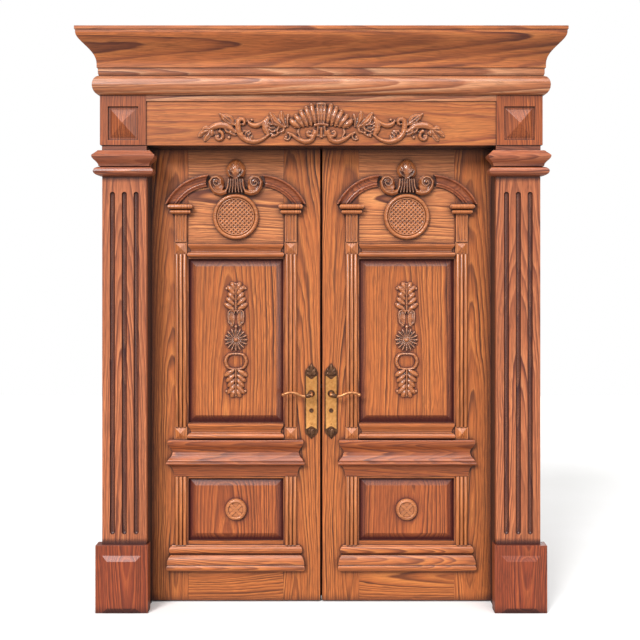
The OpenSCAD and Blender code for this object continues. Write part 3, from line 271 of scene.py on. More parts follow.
@dataclass(frozen=True)
class WoodFinish:
    """Plain-sawn ash, stained warm, with painted shade darkening its hollows and corners and painted
    highlights on its edges.
    """

    name: str
    grain: Grain
    pale: Colour = (216, 132, 66)
    warm: Colour = (188, 102, 48)
    late: Colour = (58, 20, 12)
    # Painted shade: the dark colour laid where the surface lies in a hollow or corner.
    hollow_shade: Colour = (48, 14, 16)
    # Painted highlight: the pale colour laid on convex edges and ridges.
    edge_highlight: Colour = (226, 166, 134)
    shade_reach: float = 0.05
    shade_span: Pair = (0.1, 0.52)
    shade_share: float = 0.94
    highlight_share: float = 0.3
    highlight_reach: float = 0.006
    rings: float = 84.0
    lean: float = 0.06
    depth: float = 0.055
    aside: float = 0.0
    sheen: float = 0.5
    gloss: float = 0.24
    gouge: float = 0.0
    edge: float = 0.0012

    def material(self, board: str, number: int) -> Material:
        """The finish on one board, its figure centred on that board.

        Args:
            board: The CAD node that is the board.
            number: The board's number, which sets its own figure.

        Returns:
            The material.
        """
        low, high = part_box(board)
        recipe = Recipe(f"{self.name}_{board}")
        turn = Matrix.Rotation(self.grain.value[1], 3, "Y")
        across, along = ((scatter(number, salt) - 0.5) * most for salt, most in zip((1, 2), ASH.slide))
        middle = Vector((across, 0.0, along)) - turn @ ((low + high) / 2)
        inputs = {"Rotation": self.grain.value, "Location": middle, "Vector": recipe.place()}
        place = recipe.add("Mapping", inputs).outputs["Vector"]
        figure, vigour, pores = self._figure(recipe, place, number)
        colour = self._stain(recipe, place, figure, vigour, pores)
        # Painted highlight: lightens convex edges and ridges towards a pale colour.
        edge = recipe.span(recipe.shelter(self.highlight_reach, inside=True), *ASH.highlight_span, 0.0, self.highlight_share)
        colour = recipe.blend(edge, colour, self.edge_highlight)
        # Painted shade: darkens the colour in hollows, corners and recesses by how sheltered they are.
        hollow = recipe.span(recipe.shelter(self.shade_reach), *self.shade_span, 0.0, self.shade_share)
        recipe.fill(recipe.shader, {
            "Base Color": recipe.blend(hollow, colour, self.hollow_shade), "Specular IOR Level": ASH.shine,
            "Roughness": recipe.span(pores, *ASH.rough), "Coat Weight": self.sheen,
            "Coat Roughness": self.gloss})
        height = recipe.math("ADD", recipe.math("MULTIPLY", pores, ASH.pore_depth), figure)
        if self.gouge:
            cuts = recipe.noise(recipe.place(), ASH.gouge_scale, 1.0)
            height = recipe.math("ADD", height, recipe.math("MULTIPLY", cuts, self.gouge))
        recipe.relief(height, *ASH.relief)
        return recipe.material

    def _figure(self, recipe: Recipe, place: Socket, number: int) -> tuple[Socket, Socket, Socket]:
        """Year rings of a log whose heart leans behind the face.

        Args:
            recipe: The material.
            place: Coordinates about the board's middle.
            number: The board's number.

        Returns:
            The place within a ring, each ring's strength, and the pores.
        """
        own = tuple(number * step for step in ASH.board_step)
        drift = recipe.shift(recipe.stretch(place, (1.0, 1.0, ASH.sway_along)), own)
        sway = recipe.noise(drift, ASH.sway_scale, ASH.sway_detail, output="Color")
        bent = recipe.shift(place, recipe.stretch(sway, ASH.sway))
        x, y, z = recipe.add("SeparateXYZ", {0: bent}).outputs
        lean = self.lean * (1.0 if scatter(number, 3) < 0.5 else -1.0)
        heart = self.aside + (scatter(number, 4) - 0.5) * ASH.heart_spread - ASH.heart_aside
        across = recipe.math("ADD", x, heart)
        behind = recipe.math("ADD", y, recipe.math("MULTIPLY", z, lean))
        behind = recipe.math("ADD", behind, self.depth)
        squares = [recipe.math("MULTIPLY", leg, leg) for leg in (across, behind)]
        radius = recipe.math("SQRT", recipe.math("ADD", *squares))
        season = recipe.add("CombineXYZ", {0: recipe.math("MULTIPLY", radius, ASH.season_scale),
                                           1: number * ASH.season_step})
        lag = recipe.math("MULTIPLY", recipe.noise(season.outputs[0], 1.0, 1.0), ASH.season_lag)
        years = recipe.math("MULTIPLY", recipe.math("ADD", radius, lag), self.rings)
        chance = recipe.add("TexWhiteNoise", {"W": recipe.math("FLOOR", years)}, noise_dimensions="1D")
        vigour = recipe.span(chance.outputs["Value"], 0.0, 1.0, *ASH.vigour)
        pores = recipe.noise(recipe.stretch(bent, ASH.pore_scale), 1.0, 2.0, ASH.pore_rough)
        return recipe.math("FRACT", years), vigour, pores

    def _stain(self, recipe: Recipe, place: Socket, figure: Socket, vigour: Socket,
               pores: Socket) -> Socket:
        """Stain that takes more strongly in the late wood, in the pores and in clouds.

        Args:
            recipe: The material.
            place: Coordinates about the board's middle.
            figure: The place within a ring.
            vigour: The ring's strength.
            pores: The pores.

        Returns:
            The colour.
        """
        start, dark, end = ASH.marks
        line = recipe.ramp(figure, [(0.0, self.pale), (start, self.warm), (dark, self.late),
                                    (end, self.late), (1.0, self.pale)])
        fade = recipe.span(recipe.noise(recipe.stretch(place, ASH.fade_scale), 1.0, 2.0), *ASH.fade)
        colour = recipe.blend(recipe.math("MULTIPLY", fade, vigour), self.warm, line)
        colour = recipe.blend(1.0, colour, recipe.span(pores, *ASH.streak), "MULTIPLY")
        cloud = recipe.noise(recipe.stretch(place, ASH.cloud_stretch), ASH.cloud_scale, 2.0)
        return recipe.blend(1.0, colour, recipe.span(cloud, *ASH.cloud), "MULTIPLY")


@dataclass(frozen=True)
class MetalFinish:
    """Cast and brushed metal with darkened hollows."""

    name: str
    bright: Colour
    dull: Colour
    tarnish: Colour
    rough: Pair = (0.26, 0.44)
    tarnish_share: float = 0.8
    metal: float = 0.6
    edge: float = 0.0005
    brush: Point = (1500.0, 1500.0, 60.0)
    cloud_scale: float = 70.0
    cloud: Pair = (0.35, 0.65)
    hollow: float = 0.006
    hollow_span: Pair = (0.2, 0.75)
    relief: Pair = (0.0001, 0.15)

    def material(self) -> Material:
        """The finish, one for all its pieces.

        Returns:
            The material.
        """
        recipe = Recipe(self.name)
        place = recipe.place()
        brushed = recipe.noise(recipe.stretch(place, self.brush), 1.0, 2.0)
        cloud = recipe.span(recipe.noise(place, self.cloud_scale), *self.cloud)
        hollow = recipe.span(recipe.shelter(self.hollow), *self.hollow_span, 0.0, self.tarnish_share)
        colour = recipe.blend(hollow, recipe.blend(cloud, self.bright, self.dull), self.tarnish)
        recipe.fill(recipe.shader, {"Base Color": colour, "Metallic": self.metal,
                                    "Roughness": recipe.span(brushed, 0.3, 0.7, *self.rough)})
        recipe.relief(brushed, *self.relief)
        return recipe.material


BROAD = {"rings": 46.0, "depth": 0.09}
MOULDED = {"shade_reach": 0.026, "highlight_share": 0.45, "rings": 120.0, "sheen": 0.9}
UPRIGHT_WOOD = WoodFinish("upright_ash", Grain.UPRIGHT)
LEVEL_WOOD = WoodFinish("level_ash", Grain.LEVEL)
# Painted shade: the wide hollow reach darkens a broad border round the panel's field.
PANEL_WOOD = WoodFinish(
    "panel_ash", Grain.UPRIGHT, late=(66, 24, 14), hollow_shade=(66, 20, 24), shade_reach=0.075,
    shade_span=(0.05, 0.3), rings=66.0)
LOWER_WOOD = WoodFinish(
    "lower_ash", Grain.UPRIGHT, (206, 116, 58), (174, 88, 44), (64, 22, 16), hollow_shade=(66, 20, 24),
    shade_reach=0.06, shade_span=(0.05, 0.3), rings=66.0)
# Painted light: paler than the other level boards, to lift the top rail out of the shadow under the frieze.
LIT_TOP_WOOD = WoodFinish("lit_top_ash", Grain.LEVEL, (234, 156, 94), (208, 126, 74), (92, 38, 22))
# Painted shade: darker than the other mouldings, for the shade in the arch's cove.
SHADED_ARCH_WOOD = WoodFinish("shaded_arch_ash", Grain.LEVEL, (196, 112, 62), (166, 86, 46), (110, 48, 28), **MOULDED)
CORNICE_WOOD = WoodFinish(
    "cornice_ash", Grain.LEVEL, (208, 126, 66), (188, 104, 52), (96, 38, 22), sheen=0.7, **BROAD)
FRIEZE_WOOD = WoodFinish(
    "frieze_ash", Grain.LEVEL, (204, 124, 64), (186, 104, 50), (138, 66, 36), sheen=0.7, **BROAD)
# Painted highlight: paler tones than the cornice lighten the bed moulding, for the highlight along its
# torus.
BED_WOOD = WoodFinish(
    "bed_ash", Grain.LEVEL, (232, 172, 128), (190, 112, 66), (104, 44, 26), sheen=1.0, **BROAD)
# Painted shade: the hollow reach and low span darken the flutes.
SHAFT_WOOD = WoodFinish(
    "shaft_ash", Grain.UPRIGHT, (208, 130, 84), (182, 102, 62), (88, 34, 26), shade_reach=0.032,
    shade_span=(0.04, 0.2), highlight_share=0.45, edge=0.0005)
BLOCK_WOOD = WoodFinish(
    "block_ash", Grain.UPRIGHT, (190, 104, 52), (160, 80, 38), (104, 46, 28), aside=0.16, depth=0.02)
PLINTH_WOOD = WoodFinish("plinth_ash", Grain.UPRIGHT, (180, 90, 46), (146, 64, 34), (82, 28, 22))
CAPITAL_WOOD = WoodFinish(
    "capital_ash", Grain.LEVEL, (198, 120, 80), (172, 94, 60), (104, 46, 34), shade_reach=0.03,
    highlight_share=0.45, sheen=0.8)
# Painted shade: near-black tones and a long hollow reach darken the reveals and the head of the opening.
SHADED_JAMB_WOOD = WoodFinish(
    "shaded_jamb_ash", Grain.UPRIGHT, (70, 32, 30), (52, 22, 24), (34, 14, 16), hollow_shade=(20, 8, 10),
    shade_reach=0.12, highlight_share=0.1)
# Painted highlight and shade: the pale edge colour at a high share lights the carving's ridges, and the
# tight hollow span darkens its crevices.
CARVED_WOOD = WoodFinish(
    "carved_ash", Grain.LEVEL, (214, 138, 84), (190, 112, 62), (150, 80, 42), edge_highlight=(244, 196, 166),
    shade_reach=0.014, shade_span=(0.06, 0.3), highlight_share=0.9, highlight_reach=0.009, sheen=1.0, gloss=0.16,
    gouge=5.0)
# Painted shade in the button's grooves and the lattice's holes, and painted highlight on its rims.
ROSETTE_WOOD = WoodFinish(
    "rosette_ash", Grain.LEVEL, (218, 144, 88), (196, 118, 68), (150, 80, 44), shade_reach=0.006,
    shade_span=(0.12, 0.6), shade_share=0.8, highlight_share=0.65, sheen=1.0, gloss=0.18)
MOULDED_WOOD = WoodFinish("moulded_ash", Grain.LEVEL, late=(96, 40, 22), **MOULDED)
BELT_WOOD = WoodFinish("belt_ash", Grain.LEVEL, (192, 106, 50), (164, 82, 38), (90, 36, 22), **MOULDED)
REEDED_WOOD = WoodFinish(
    "reeded_ash", Grain.UPRIGHT, (222, 142, 82), (198, 116, 62), (128, 60, 34), shade_reach=0.008,
    shade_span=(0.1, 0.44), highlight_share=0.5, sheen=0.8, edge=0.0005)
BRASS = MetalFinish("satin_brass", (230, 166, 96), (208, 144, 78), (96, 50, 24))
LEVER_BRASS = MetalFinish("lever_brass", (206, 142, 92), (168, 106, 66), (80, 40, 24))
BRONZE = MetalFinish("dark_bronze", (112, 76, 50), (76, 48, 32), (26, 14, 10), (0.3, 0.5))
STEEL = MetalFinish("lock_steel", (196, 194, 190), (170, 168, 166), (70, 64, 58), metal=0.9)


class Workpiece:
    """One mesh under the tools: faces picked by place, shaped in edit mode, finished with modifiers."""

    def __init__(self, name: str) -> None:
        """Takes the primitive that has just been added.

        Args:
            name: The piece's name.
        """
        self.obj = bpy.context.object
        self.obj.name = name
        self.obj.data.name = name
        bpy.ops.object.transform_apply(location=True, rotation=True, scale=True)

    @classmethod
    def made(cls, name: str, shape: Callable[..., object], scale: Sequence[float] = (1.0, 1.0, 1.0),
             **settings: object) -> Self:
        """A blank of one of the plain shapes.

        Args:
            name: The piece's name.
            shape: The tool that adds the shape.
            scale: How it is stretched along each axis.
            settings: The shape's own settings.

        Returns:
            The piece.
        """
        bpy.ops.object.select_all(action="DESELECT")
        shape(**settings)
        bpy.context.object.scale = scale
        return cls(name)

    @classmethod
    def block(cls, name: str, low: Point, high: Point) -> Self:
        """A block between its lowest and its highest corner."""
        middle, size = [(a + b) / 2 for a, b in zip(low, high)], [b - a for a, b in zip(low, high)]
        return cls.made(name, bpy.ops.mesh.primitive_cube_add, size, size=1.0, location=middle)

    @classmethod
    def turned(cls, name: str, centre: Point, radius: float, length: float, sides: int) -> Self:
        """A round blank that lies front to back."""
        return cls.made(name, bpy.ops.mesh.primitive_cylinder_add, vertices=sides, radius=radius,
                        depth=length, location=centre, rotation=TO_FRONT)

    @classmethod
    def hoop(cls, name: str, centre: Point, radius: float, thick: float) -> Self:
        """A ring that faces the front, by the radius of its centre line and of its section."""
        return cls.made(name, bpy.ops.mesh.primitive_torus_add, major_segments=72, minor_segments=16,
                        major_radius=radius, minor_radius=thick, location=centre, rotation=TO_FRONT)

    @classmethod
    def pebble(cls, name: str, centre: Point, radii: Point, tilt: float = 0.0) -> Self:
        """An egg-shaped blank that leans about Y by a tilt in degrees."""
        return cls.made(name, bpy.ops.mesh.primitive_uv_sphere_add, radii, segments=20, ring_count=12,
                        radius=1.0, location=centre, rotation=(0.0, math.radians(tilt), 0.0))

    def _only(self) -> None:
        """Makes this piece the one that the tools act on."""
        bpy.ops.object.select_all(action="DESELECT")
        self.obj.select_set(True)
        bpy.context.view_layer.objects.active = self.obj

    def _pick(self, mode: str, kind: str, wanted: Callable[[object], bool]) -> Self:
        """Picks some of the mesh's points, edges or faces.

        Args:
            mode: VERT, EDGE or FACE.
            kind: The mesh's name for them.
            wanted: Says of each whether it is picked.

        Returns:
            The piece, in edit mode.
        """
        self._only()
        bpy.ops.object.mode_set(mode="EDIT")
        bpy.ops.mesh.select_mode(type=mode)
        bpy.ops.mesh.select_all(action="DESELECT")
        self.done()
        for part in getattr(self.obj.data, kind):
            part.select = wanted(part)
        bpy.ops.object.mode_set(mode="EDIT")
        return self

    def faces(self, wanted: Callable[[Vector, Vector], bool]) -> Self:
        """Picks faces by their middle and normal."""
        return self._pick("FACE", "polygons", lambda face: wanted(face.center, face.normal))

    def points(self, wanted: Callable[[Vector], bool]) -> Self:
        """Picks points by their place."""
        return self._pick("VERT", "vertices", lambda point: wanted(point.co))

    def edges(self, wanted: Callable[[Vector, Vector], bool]) -> Self:
        """Picks edges by the places of their two ends."""
        return self._pick("EDGE", "edges", lambda edge: wanted(
            *(self.obj.data.vertices[end].co for end in edge.vertices)))

    def done(self) -> Self:
        """Leaves edit mode."""
        bpy.ops.object.mode_set(mode="OBJECT")
        return self

    def push(self, move: Point) -> Self:
        """Moves what is picked."""
        bpy.ops.transform.translate(value=move)
        return self.done()

    def swell(self, factors: Point, centre: Point) -> Self:
        """Resizes what is picked about a point."""
        bpy.ops.transform.resize(value=factors, center_override=centre)
        return self.done()

    def draw_out(self, move: Point) -> Self:
        """Extrudes what is picked."""
        bpy.ops.mesh.extrude_region_move(TRANSFORM_OT_translate={"value": move})
        return self.done()

    def sink(self, margin: float, depth: float) -> Self:
        """Insets the picked faces and sets them back."""
        bpy.ops.mesh.inset(thickness=margin, depth=-depth)
        return self.done()

    def ease(self, width: float, steps: int = 2) -> Self:
        """Bevels the picked edges."""
        bpy.ops.mesh.bevel(offset=width, segments=steps, affect="EDGES")
        return self.done()

    def slice(self, at: Point, facing: Point) -> Self:
        """Cuts an edge line round the piece.

        Args:
            at: A point on the cut.
            facing: The cut's normal.

        Returns:
            The piece.
        """
        self.faces(lambda c, n: True)
        bpy.ops.mesh.bisect(plane_co=at, plane_no=facing)
        return self.done()

    def finish(self, kind: str, **settings: object) -> Self:
        """Adds a modifier and applies it.

        Args:
            kind: The modifier's type.
            settings: Its settings.

        Returns:
            The piece.
        """
        self._only()
        modifier = adjust(self.obj.modifiers.new(kind.lower(), kind), settings)
        bpy.ops.object.modifier_apply(modifier=modifier.name)
        return self

    def soften(self, width: float, steps: int = 2) -> Self:
        """Bevels every sharp edge."""
        return self.finish("BEVEL", width=width, segments=steps, limit_method="ANGLE", angle_limit=0.7)

    def sanded(self, cell: float, rounds: int) -> Self:
        """Merges the piece into one skin of small cells and smooths it."""
        self.finish("REMESH", mode="VOXEL", voxel_size=cell)
        return self.finish("SMOOTH", factor=0.5, iterations=rounds)

    def gather(self, *others: Self) -> Self:
        """Joins other pieces into this one.

        Args:
            others: The pieces.

        Returns:
            This piece.
        """
        self._only()
        for other in others:
            other.obj.select_set(True)
        bpy.ops.object.join()
        return self

    def settle(self, angle: float = SHARP_ANGLE) -> Self:
        """Merges doubles, turns the faces outward and shades the piece smooth.

        Args:
            angle: Edges sharper than this stay sharp, in degrees.

        Returns:
            The piece.
        """
        self._only()
        bpy.ops.object.mode_set(mode="EDIT")
        bpy.ops.mesh.select_all(action="SELECT")
        bpy.ops.mesh.remove_doubles(threshold=WELD_GAP)
        bpy.ops.mesh.normals_make_consistent(inside=False)
        self.done()
        bpy.ops.object.shade_smooth_by_angle(angle=math.radians(angle))
        return self

    def copied(self, name: str, place: Matrix) -> Self:
        """A copy with its own mesh, put elsewhere.

        Args:
            name: The copy's name.
            place: The move, turn or mirror.

        Returns:
            The copy.
        """
        self._only()
        bpy.ops.object.duplicate()
        twin = Workpiece(name)
        twin.obj.data.transform(place)
        return twin.settle()

    def dress(self, material: Material, body: str, slot: str) -> Self:
        """Gives the piece its finish and the body it moves with.

        Args:
            material: The finish.
            body: The CAD body.
            slot: Not used.

        Returns:
            The piece.
        """
        self.obj.data.materials.clear()
        self.obj.data.materials.append(material)
        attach(self.obj, body)
        log.info("%s on %s", self.obj.name, body)
        return self


class Joinery:
    """Dresses CAD nodes as finished wood or metal without touching their meshes."""

    def __init__(self) -> None:
        """Starts counting boards."""
        self.count = 0
        self.metals: dict[str, Material] = {}

    def metal(self, finish: MetalFinish) -> Material:
        """The one material of a metal finish.

        Args:
            finish: The finish.

        Returns:
            The material.
        """
        if finish.name not in self.metals:
            self.metals[finish.name] = finish.material()
        return self.metals[finish.name]

    def board(self, node: str, finish: WoodFinish) -> None:
        """Dresses a node that is planed or moulded wood."""
        self._wood(node, finish)
        self._soften(node, finish.edge)

    def carving(self, node: str, finish: WoodFinish, rounds: int = 9) -> None:
        """Dresses a node that is carved, its facets sanded into flowing forms.

        Args:
            node: The CAD node.
            finish: Its wood.
            rounds: Passes of sanding.
        """
        self._wood(node, finish)
        self._live(node, "weld", "WELD", merge_threshold=WELD_GAP)
        self._live(node, "sand", "REMESH", mode="VOXEL", voxel_size=CARVED_CELL, use_smooth_shade=True)
        self._live(node, "smooth", "SMOOTH", factor=0.5, iterations=rounds)

    def metalwork(self, node: str, finish: MetalFinish) -> None:
        """Dresses a node that is metal."""
        self._cover(node, self.metal(finish))
        self._soften(node, finish.edge)

    def _cover(self, node: str, material: Material) -> None:
        """Puts a material on a node.

        Args:
            node: The CAD node.
            material: Its finish.
        """
        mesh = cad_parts[node].data
        mesh.materials.clear()
        mesh.materials.append(material)
        log.info("%s in %s", node, material.name)

    def _soften(self, node: str, edge: float) -> None:
        """Eases a node's edges with live modifiers.

        Args:
            node: The CAD node.
            edge: How far its edges are eased, in metres.
        """
        self._live(node, "weld", "WELD", merge_threshold=WELD_GAP)
        self._live(node, "ease", "BEVEL", width=edge, segments=2, limit_method="ANGLE",
                   angle_limit=math.radians(SHARP_ANGLE), use_clamp_overlap=False, harden_normals=True)

    def _wood(self, node: str, finish: WoodFinish) -> None:
        """Puts the next board's wood on a node."""
        self.count += 1
        self._cover(node, finish.material(node, self.count))

    def _live(self, node: str, name: str, kind: str, **settings: object) -> None:
        """Adds a live modifier to a node."""
        adjust(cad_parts[node].modifiers.new(name, kind), settings)


@dataclass
class Surround:
    """The fixed frame: jambs, pilasters, frieze and cornice."""

    joinery: Joinery

    def build(self) -> None:
        """Dresses every piece of the frame."""
        for side in Side:
            for part, wood in (("jamb", SHADED_JAMB_WOOD), ("shaft", SHAFT_WOOD), ("plinth", PLINTH_WOOD),
                               ("capital", CAPITAL_WOOD), ("frieze_block", BLOCK_WOOD)):
                self.joinery.board(f"{side.value}_{part}", wood)
        self.joinery.board("head_jamb", SHADED_JAMB_WOOD)
        self.joinery.carving("frieze_carving", CARVED_WOOD)
        for part, wood in (("frieze_panel", FRIEZE_WOOD), ("bed_moulding", BED_WOOD),
                           ("crown_moulding", CORNICE_WOOD), ("cornice_cap", CORNICE_WOOD)):
            self.joinery.board(part, wood)
        ShellLobes("frieze_carving", "surround", "shell_lobes").build()


@dataclass
class CarvedLobes:
    """Rounded lobes laid over the strokes of a carving."""

    carving: str
    body: str
    name: str
    overrun: float = 1.2
    skin: float = 0.0016
    taper: Point = (0.93, 1.0, 1.0)
    taper_heights: Point = (0.3, -0.1, -0.5)
    back: float = 0.1

    def build(self) -> None:
        """Carves one lobe, copies it along each stroke and joins the copies."""
        blank = self._blank()
        lobes = [self._laid(blank, run) for run in self._runs()]
        bpy.data.objects.remove(blank.obj)
        piece = lobes[0].gather(*lobes[1:]).sanded(self.skin, 2)
        piece.obj.name = self.name
        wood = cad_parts[self.carving].data.materials[0]
        piece.settle(ROUND_ANGLE).dress(wood, self.body, "carved_wood")

    def _blank(self) -> Workpiece:
        """One upright lobe of half size 1, narrower at its foot and flat behind.

        Returns:
            The lobe.
        """
        piece = Workpiece.pebble("lobe", (0.0, 0.0, 0.0), (1.0, 1.0, 1.0))
        for height in self.taper_heights:
            piece.points(lambda at: at.z < height).swell(self.taper, (0.0, 0.0, 0.0))
        return piece.points(lambda at: at.y > self.back).swell((1.0, 0.0, 1.0), (0.0, self.back, 0.0))

    def _runs(self) -> list[Run]:
        """Foot, tip, half width and relief of every lobe."""
        raise NotImplementedError

    def _laid(self, blank: Workpiece, run: Run) -> Workpiece:
        """A copy of the lobe between two points of the ground.

        Args:
            blank: The lobe.
            run: The copy's foot, tip, half width and relief.

        Returns:
            The copy.
        """
        foot, tip, half, relief = run
        way = tip - foot
        place = (Matrix.Translation((tip + foot) / 2) @ Matrix.Rotation(math.atan2(way.x, way.z), 4, "Y")
                 @ Matrix.Diagonal((half, relief, way.length * self.overrun / 2, 1.0)))
        return blank.copied("lobe", place)


@dataclass
class ShellLobes(CarvedLobes):
    """The lobes of the frieze's shell, placed across from the middle and up from the panel's foot."""

    lip: Pair = (0.024, 0.192)
    lip_half: float = 0.0095
    flute_foot: Pair = (0.012, 0.100)
    flute_tip: Pair = (0.0175, 0.190)
    flute_half: float = 0.0135
    ribs: int = 5
    rib_foot: Pair = (0.027, 0.099)
    rib_foot_step: Pair = (0.019, -0.004)
    rib_tip: Pair = (0.0475, 0.190)
    rib_tip_step: Pair = (0.0255, -0.012)
    rib_fall: float = 0.0015
    rib_half: float = 0.0178

    def _runs(self) -> list[Run]:
        """Places the lip, the flutes and the ribs.

        Returns:
            Foot, tip, half width and relief of every lobe.
        """
        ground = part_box("frieze_panel")[0]
        relief = ground.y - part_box(self.carving)[0].y
        runs = [(-1.0, self.lip, (-self.lip[0], self.lip[1]), self.lip_half)]
        runs += [(way, self.flute_foot, self.flute_tip, self.flute_half) for way in (-1.0, 0.0, 1.0)]
        for way in (-1.0, 1.0):
            for rib in range(self.ribs):
                foot, tip = ((x + dx * rib, z + dz * rib) for (x, z), (dx, dz) in (
                    (self.rib_foot, self.rib_foot_step), (self.rib_tip, self.rib_tip_step)))
                runs.append((way, foot, (tip[0], tip[1] - self.rib_fall * rib * rib), self.rib_half))
        return [(*(Vector((way * x, ground.y, ground.z + z)) for x, z in (foot, tip)), half, relief)
                for way, foot, tip, half in runs]


@dataclass
class DropLobes(CarvedLobes):
    """The lobes along the leaflets at both ends of the carving on an upper panel."""

    half: float = 0.0150
    drawn: float = 0.552
    leaf: float = 0.138
    leaflets: int = 4
    root: Pair = (0.003, 0.002)
    rise: float = 0.024
    angle: Pair = (34.0, 7.0)
    length: Pair = (0.062, 0.005)
    crests: tuple[Span, ...] = ((0.005, 0.052, 42.0, 0.050), (0.004, 0.040, 66.0, 0.044))
    crest_half: float = 0.0140
    relief: float = 0.92

    def _runs(self) -> list[Run]:
        """Places the leaflets along both stems and at their ends.

        Returns:
            Foot, tip, half width and relief of every lobe.
        """
        low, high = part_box(self.carving)
        middle = (low + high) / 2
        grow = (high.z - low.z) / self.drawn
        end = self.drawn / 2
        strokes = [(self.root[0], end - self.leaf + self.root[1] + self.rise * step,
                    self.angle[0] + self.angle[1] * step, self.length[0] - self.length[1] * step, self.half)
                   for step in range(self.leaflets)]
        strokes += [(x, end - z, angle, length, self.crest_half) for x, z, angle, length in self.crests]
        ground = Vector((middle.x, high.y, middle.z))
        runs = []
        for x, z, angle, length, half in strokes:
            reach = Vector((math.cos(math.radians(angle)), 0.0, math.sin(math.radians(angle)))) * length
            for across, along in ((-1.0, -1.0), (-1.0, 1.0), (1.0, -1.0), (1.0, 1.0)):
                turn = Matrix.Diagonal((across * grow, 1.0, along * grow))
                foot = ground + turn @ Vector((x, 0.0, z))
                runs.append((foot, foot + turn @ reach, half * grow, (high.y - low.y) * self.relief))
        return runs


LEAF_BOARDS = {
    "hinge_stile": UPRIGHT_WOOD, "lock_stile": UPRIGHT_WOOD, "upper_panel": PANEL_WOOD,
    "lower_panel": LOWER_WOOD, "top_rail": LIT_TOP_WOOD, "lock_rail": LEVEL_WOOD, "bottom_rail": LEVEL_WOOD,
    "arch": SHADED_ARCH_WOOD, "panel_bars": MOULDED_WOOD, "waist": BELT_WOOD, "base": MOULDED_WOOD,
    "columns": REEDED_WOOD, "rosettes": ROSETTE_WOOD}


@dataclass
class Leaf:
    """One leaf of the door with its panels, mouldings and carvings."""

    joinery: Joinery
    side: Side
    keystone_rounds: int = 18
    drop_overrun: float = 1.08

    def build(self) -> None:
        """Dresses every piece of the leaf."""
        name = self.side.value
        for part, wood in LEAF_BOARDS.items():
            self.joinery.board(f"{name}_{part}", wood)
        self.joinery.carving(f"{name}_keystone", CARVED_WOOD, rounds=self.keystone_rounds)
        carving = f"{name}_panel_carving"
        self.joinery.carving(carving, CARVED_WOOD)
        DropLobes(carving, f"{name}_leaf", f"{name}_drop_lobes", overrun=self.drop_overrun).build()
        ButtonBead(self.side).build()


@dataclass
class ButtonBead:
    """The turned bead round the strapwork of the button on a lower panel."""

    side: Side
    button: float = 0.053
    ring: float = 0.0412
    thick: float = 0.0056
    stand: float = 0.0155
    seat_share: float = 0.4

    def build(self) -> None:
        """Turns the bead and flattens its seat."""
        node = f"{self.side.value}_rosettes"
        low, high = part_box(node)
        centre = ((low.x + high.x) / 2, high.y - self.stand, low.z + self.button)
        seat = centre[1] + self.thick * self.seat_share
        piece = Workpiece.hoop(f"{self.side.value}_button_bead", centre, self.ring, self.thick)
        piece.points(lambda at: at.y > seat).swell((1.0, 0.0, 1.0), (centre[0], seat, centre[2]))
        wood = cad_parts[node].data.materials[0]
        piece.settle(ROUND_ANGLE).dress(wood, f"{self.side.value}_leaf", "carved_wood")


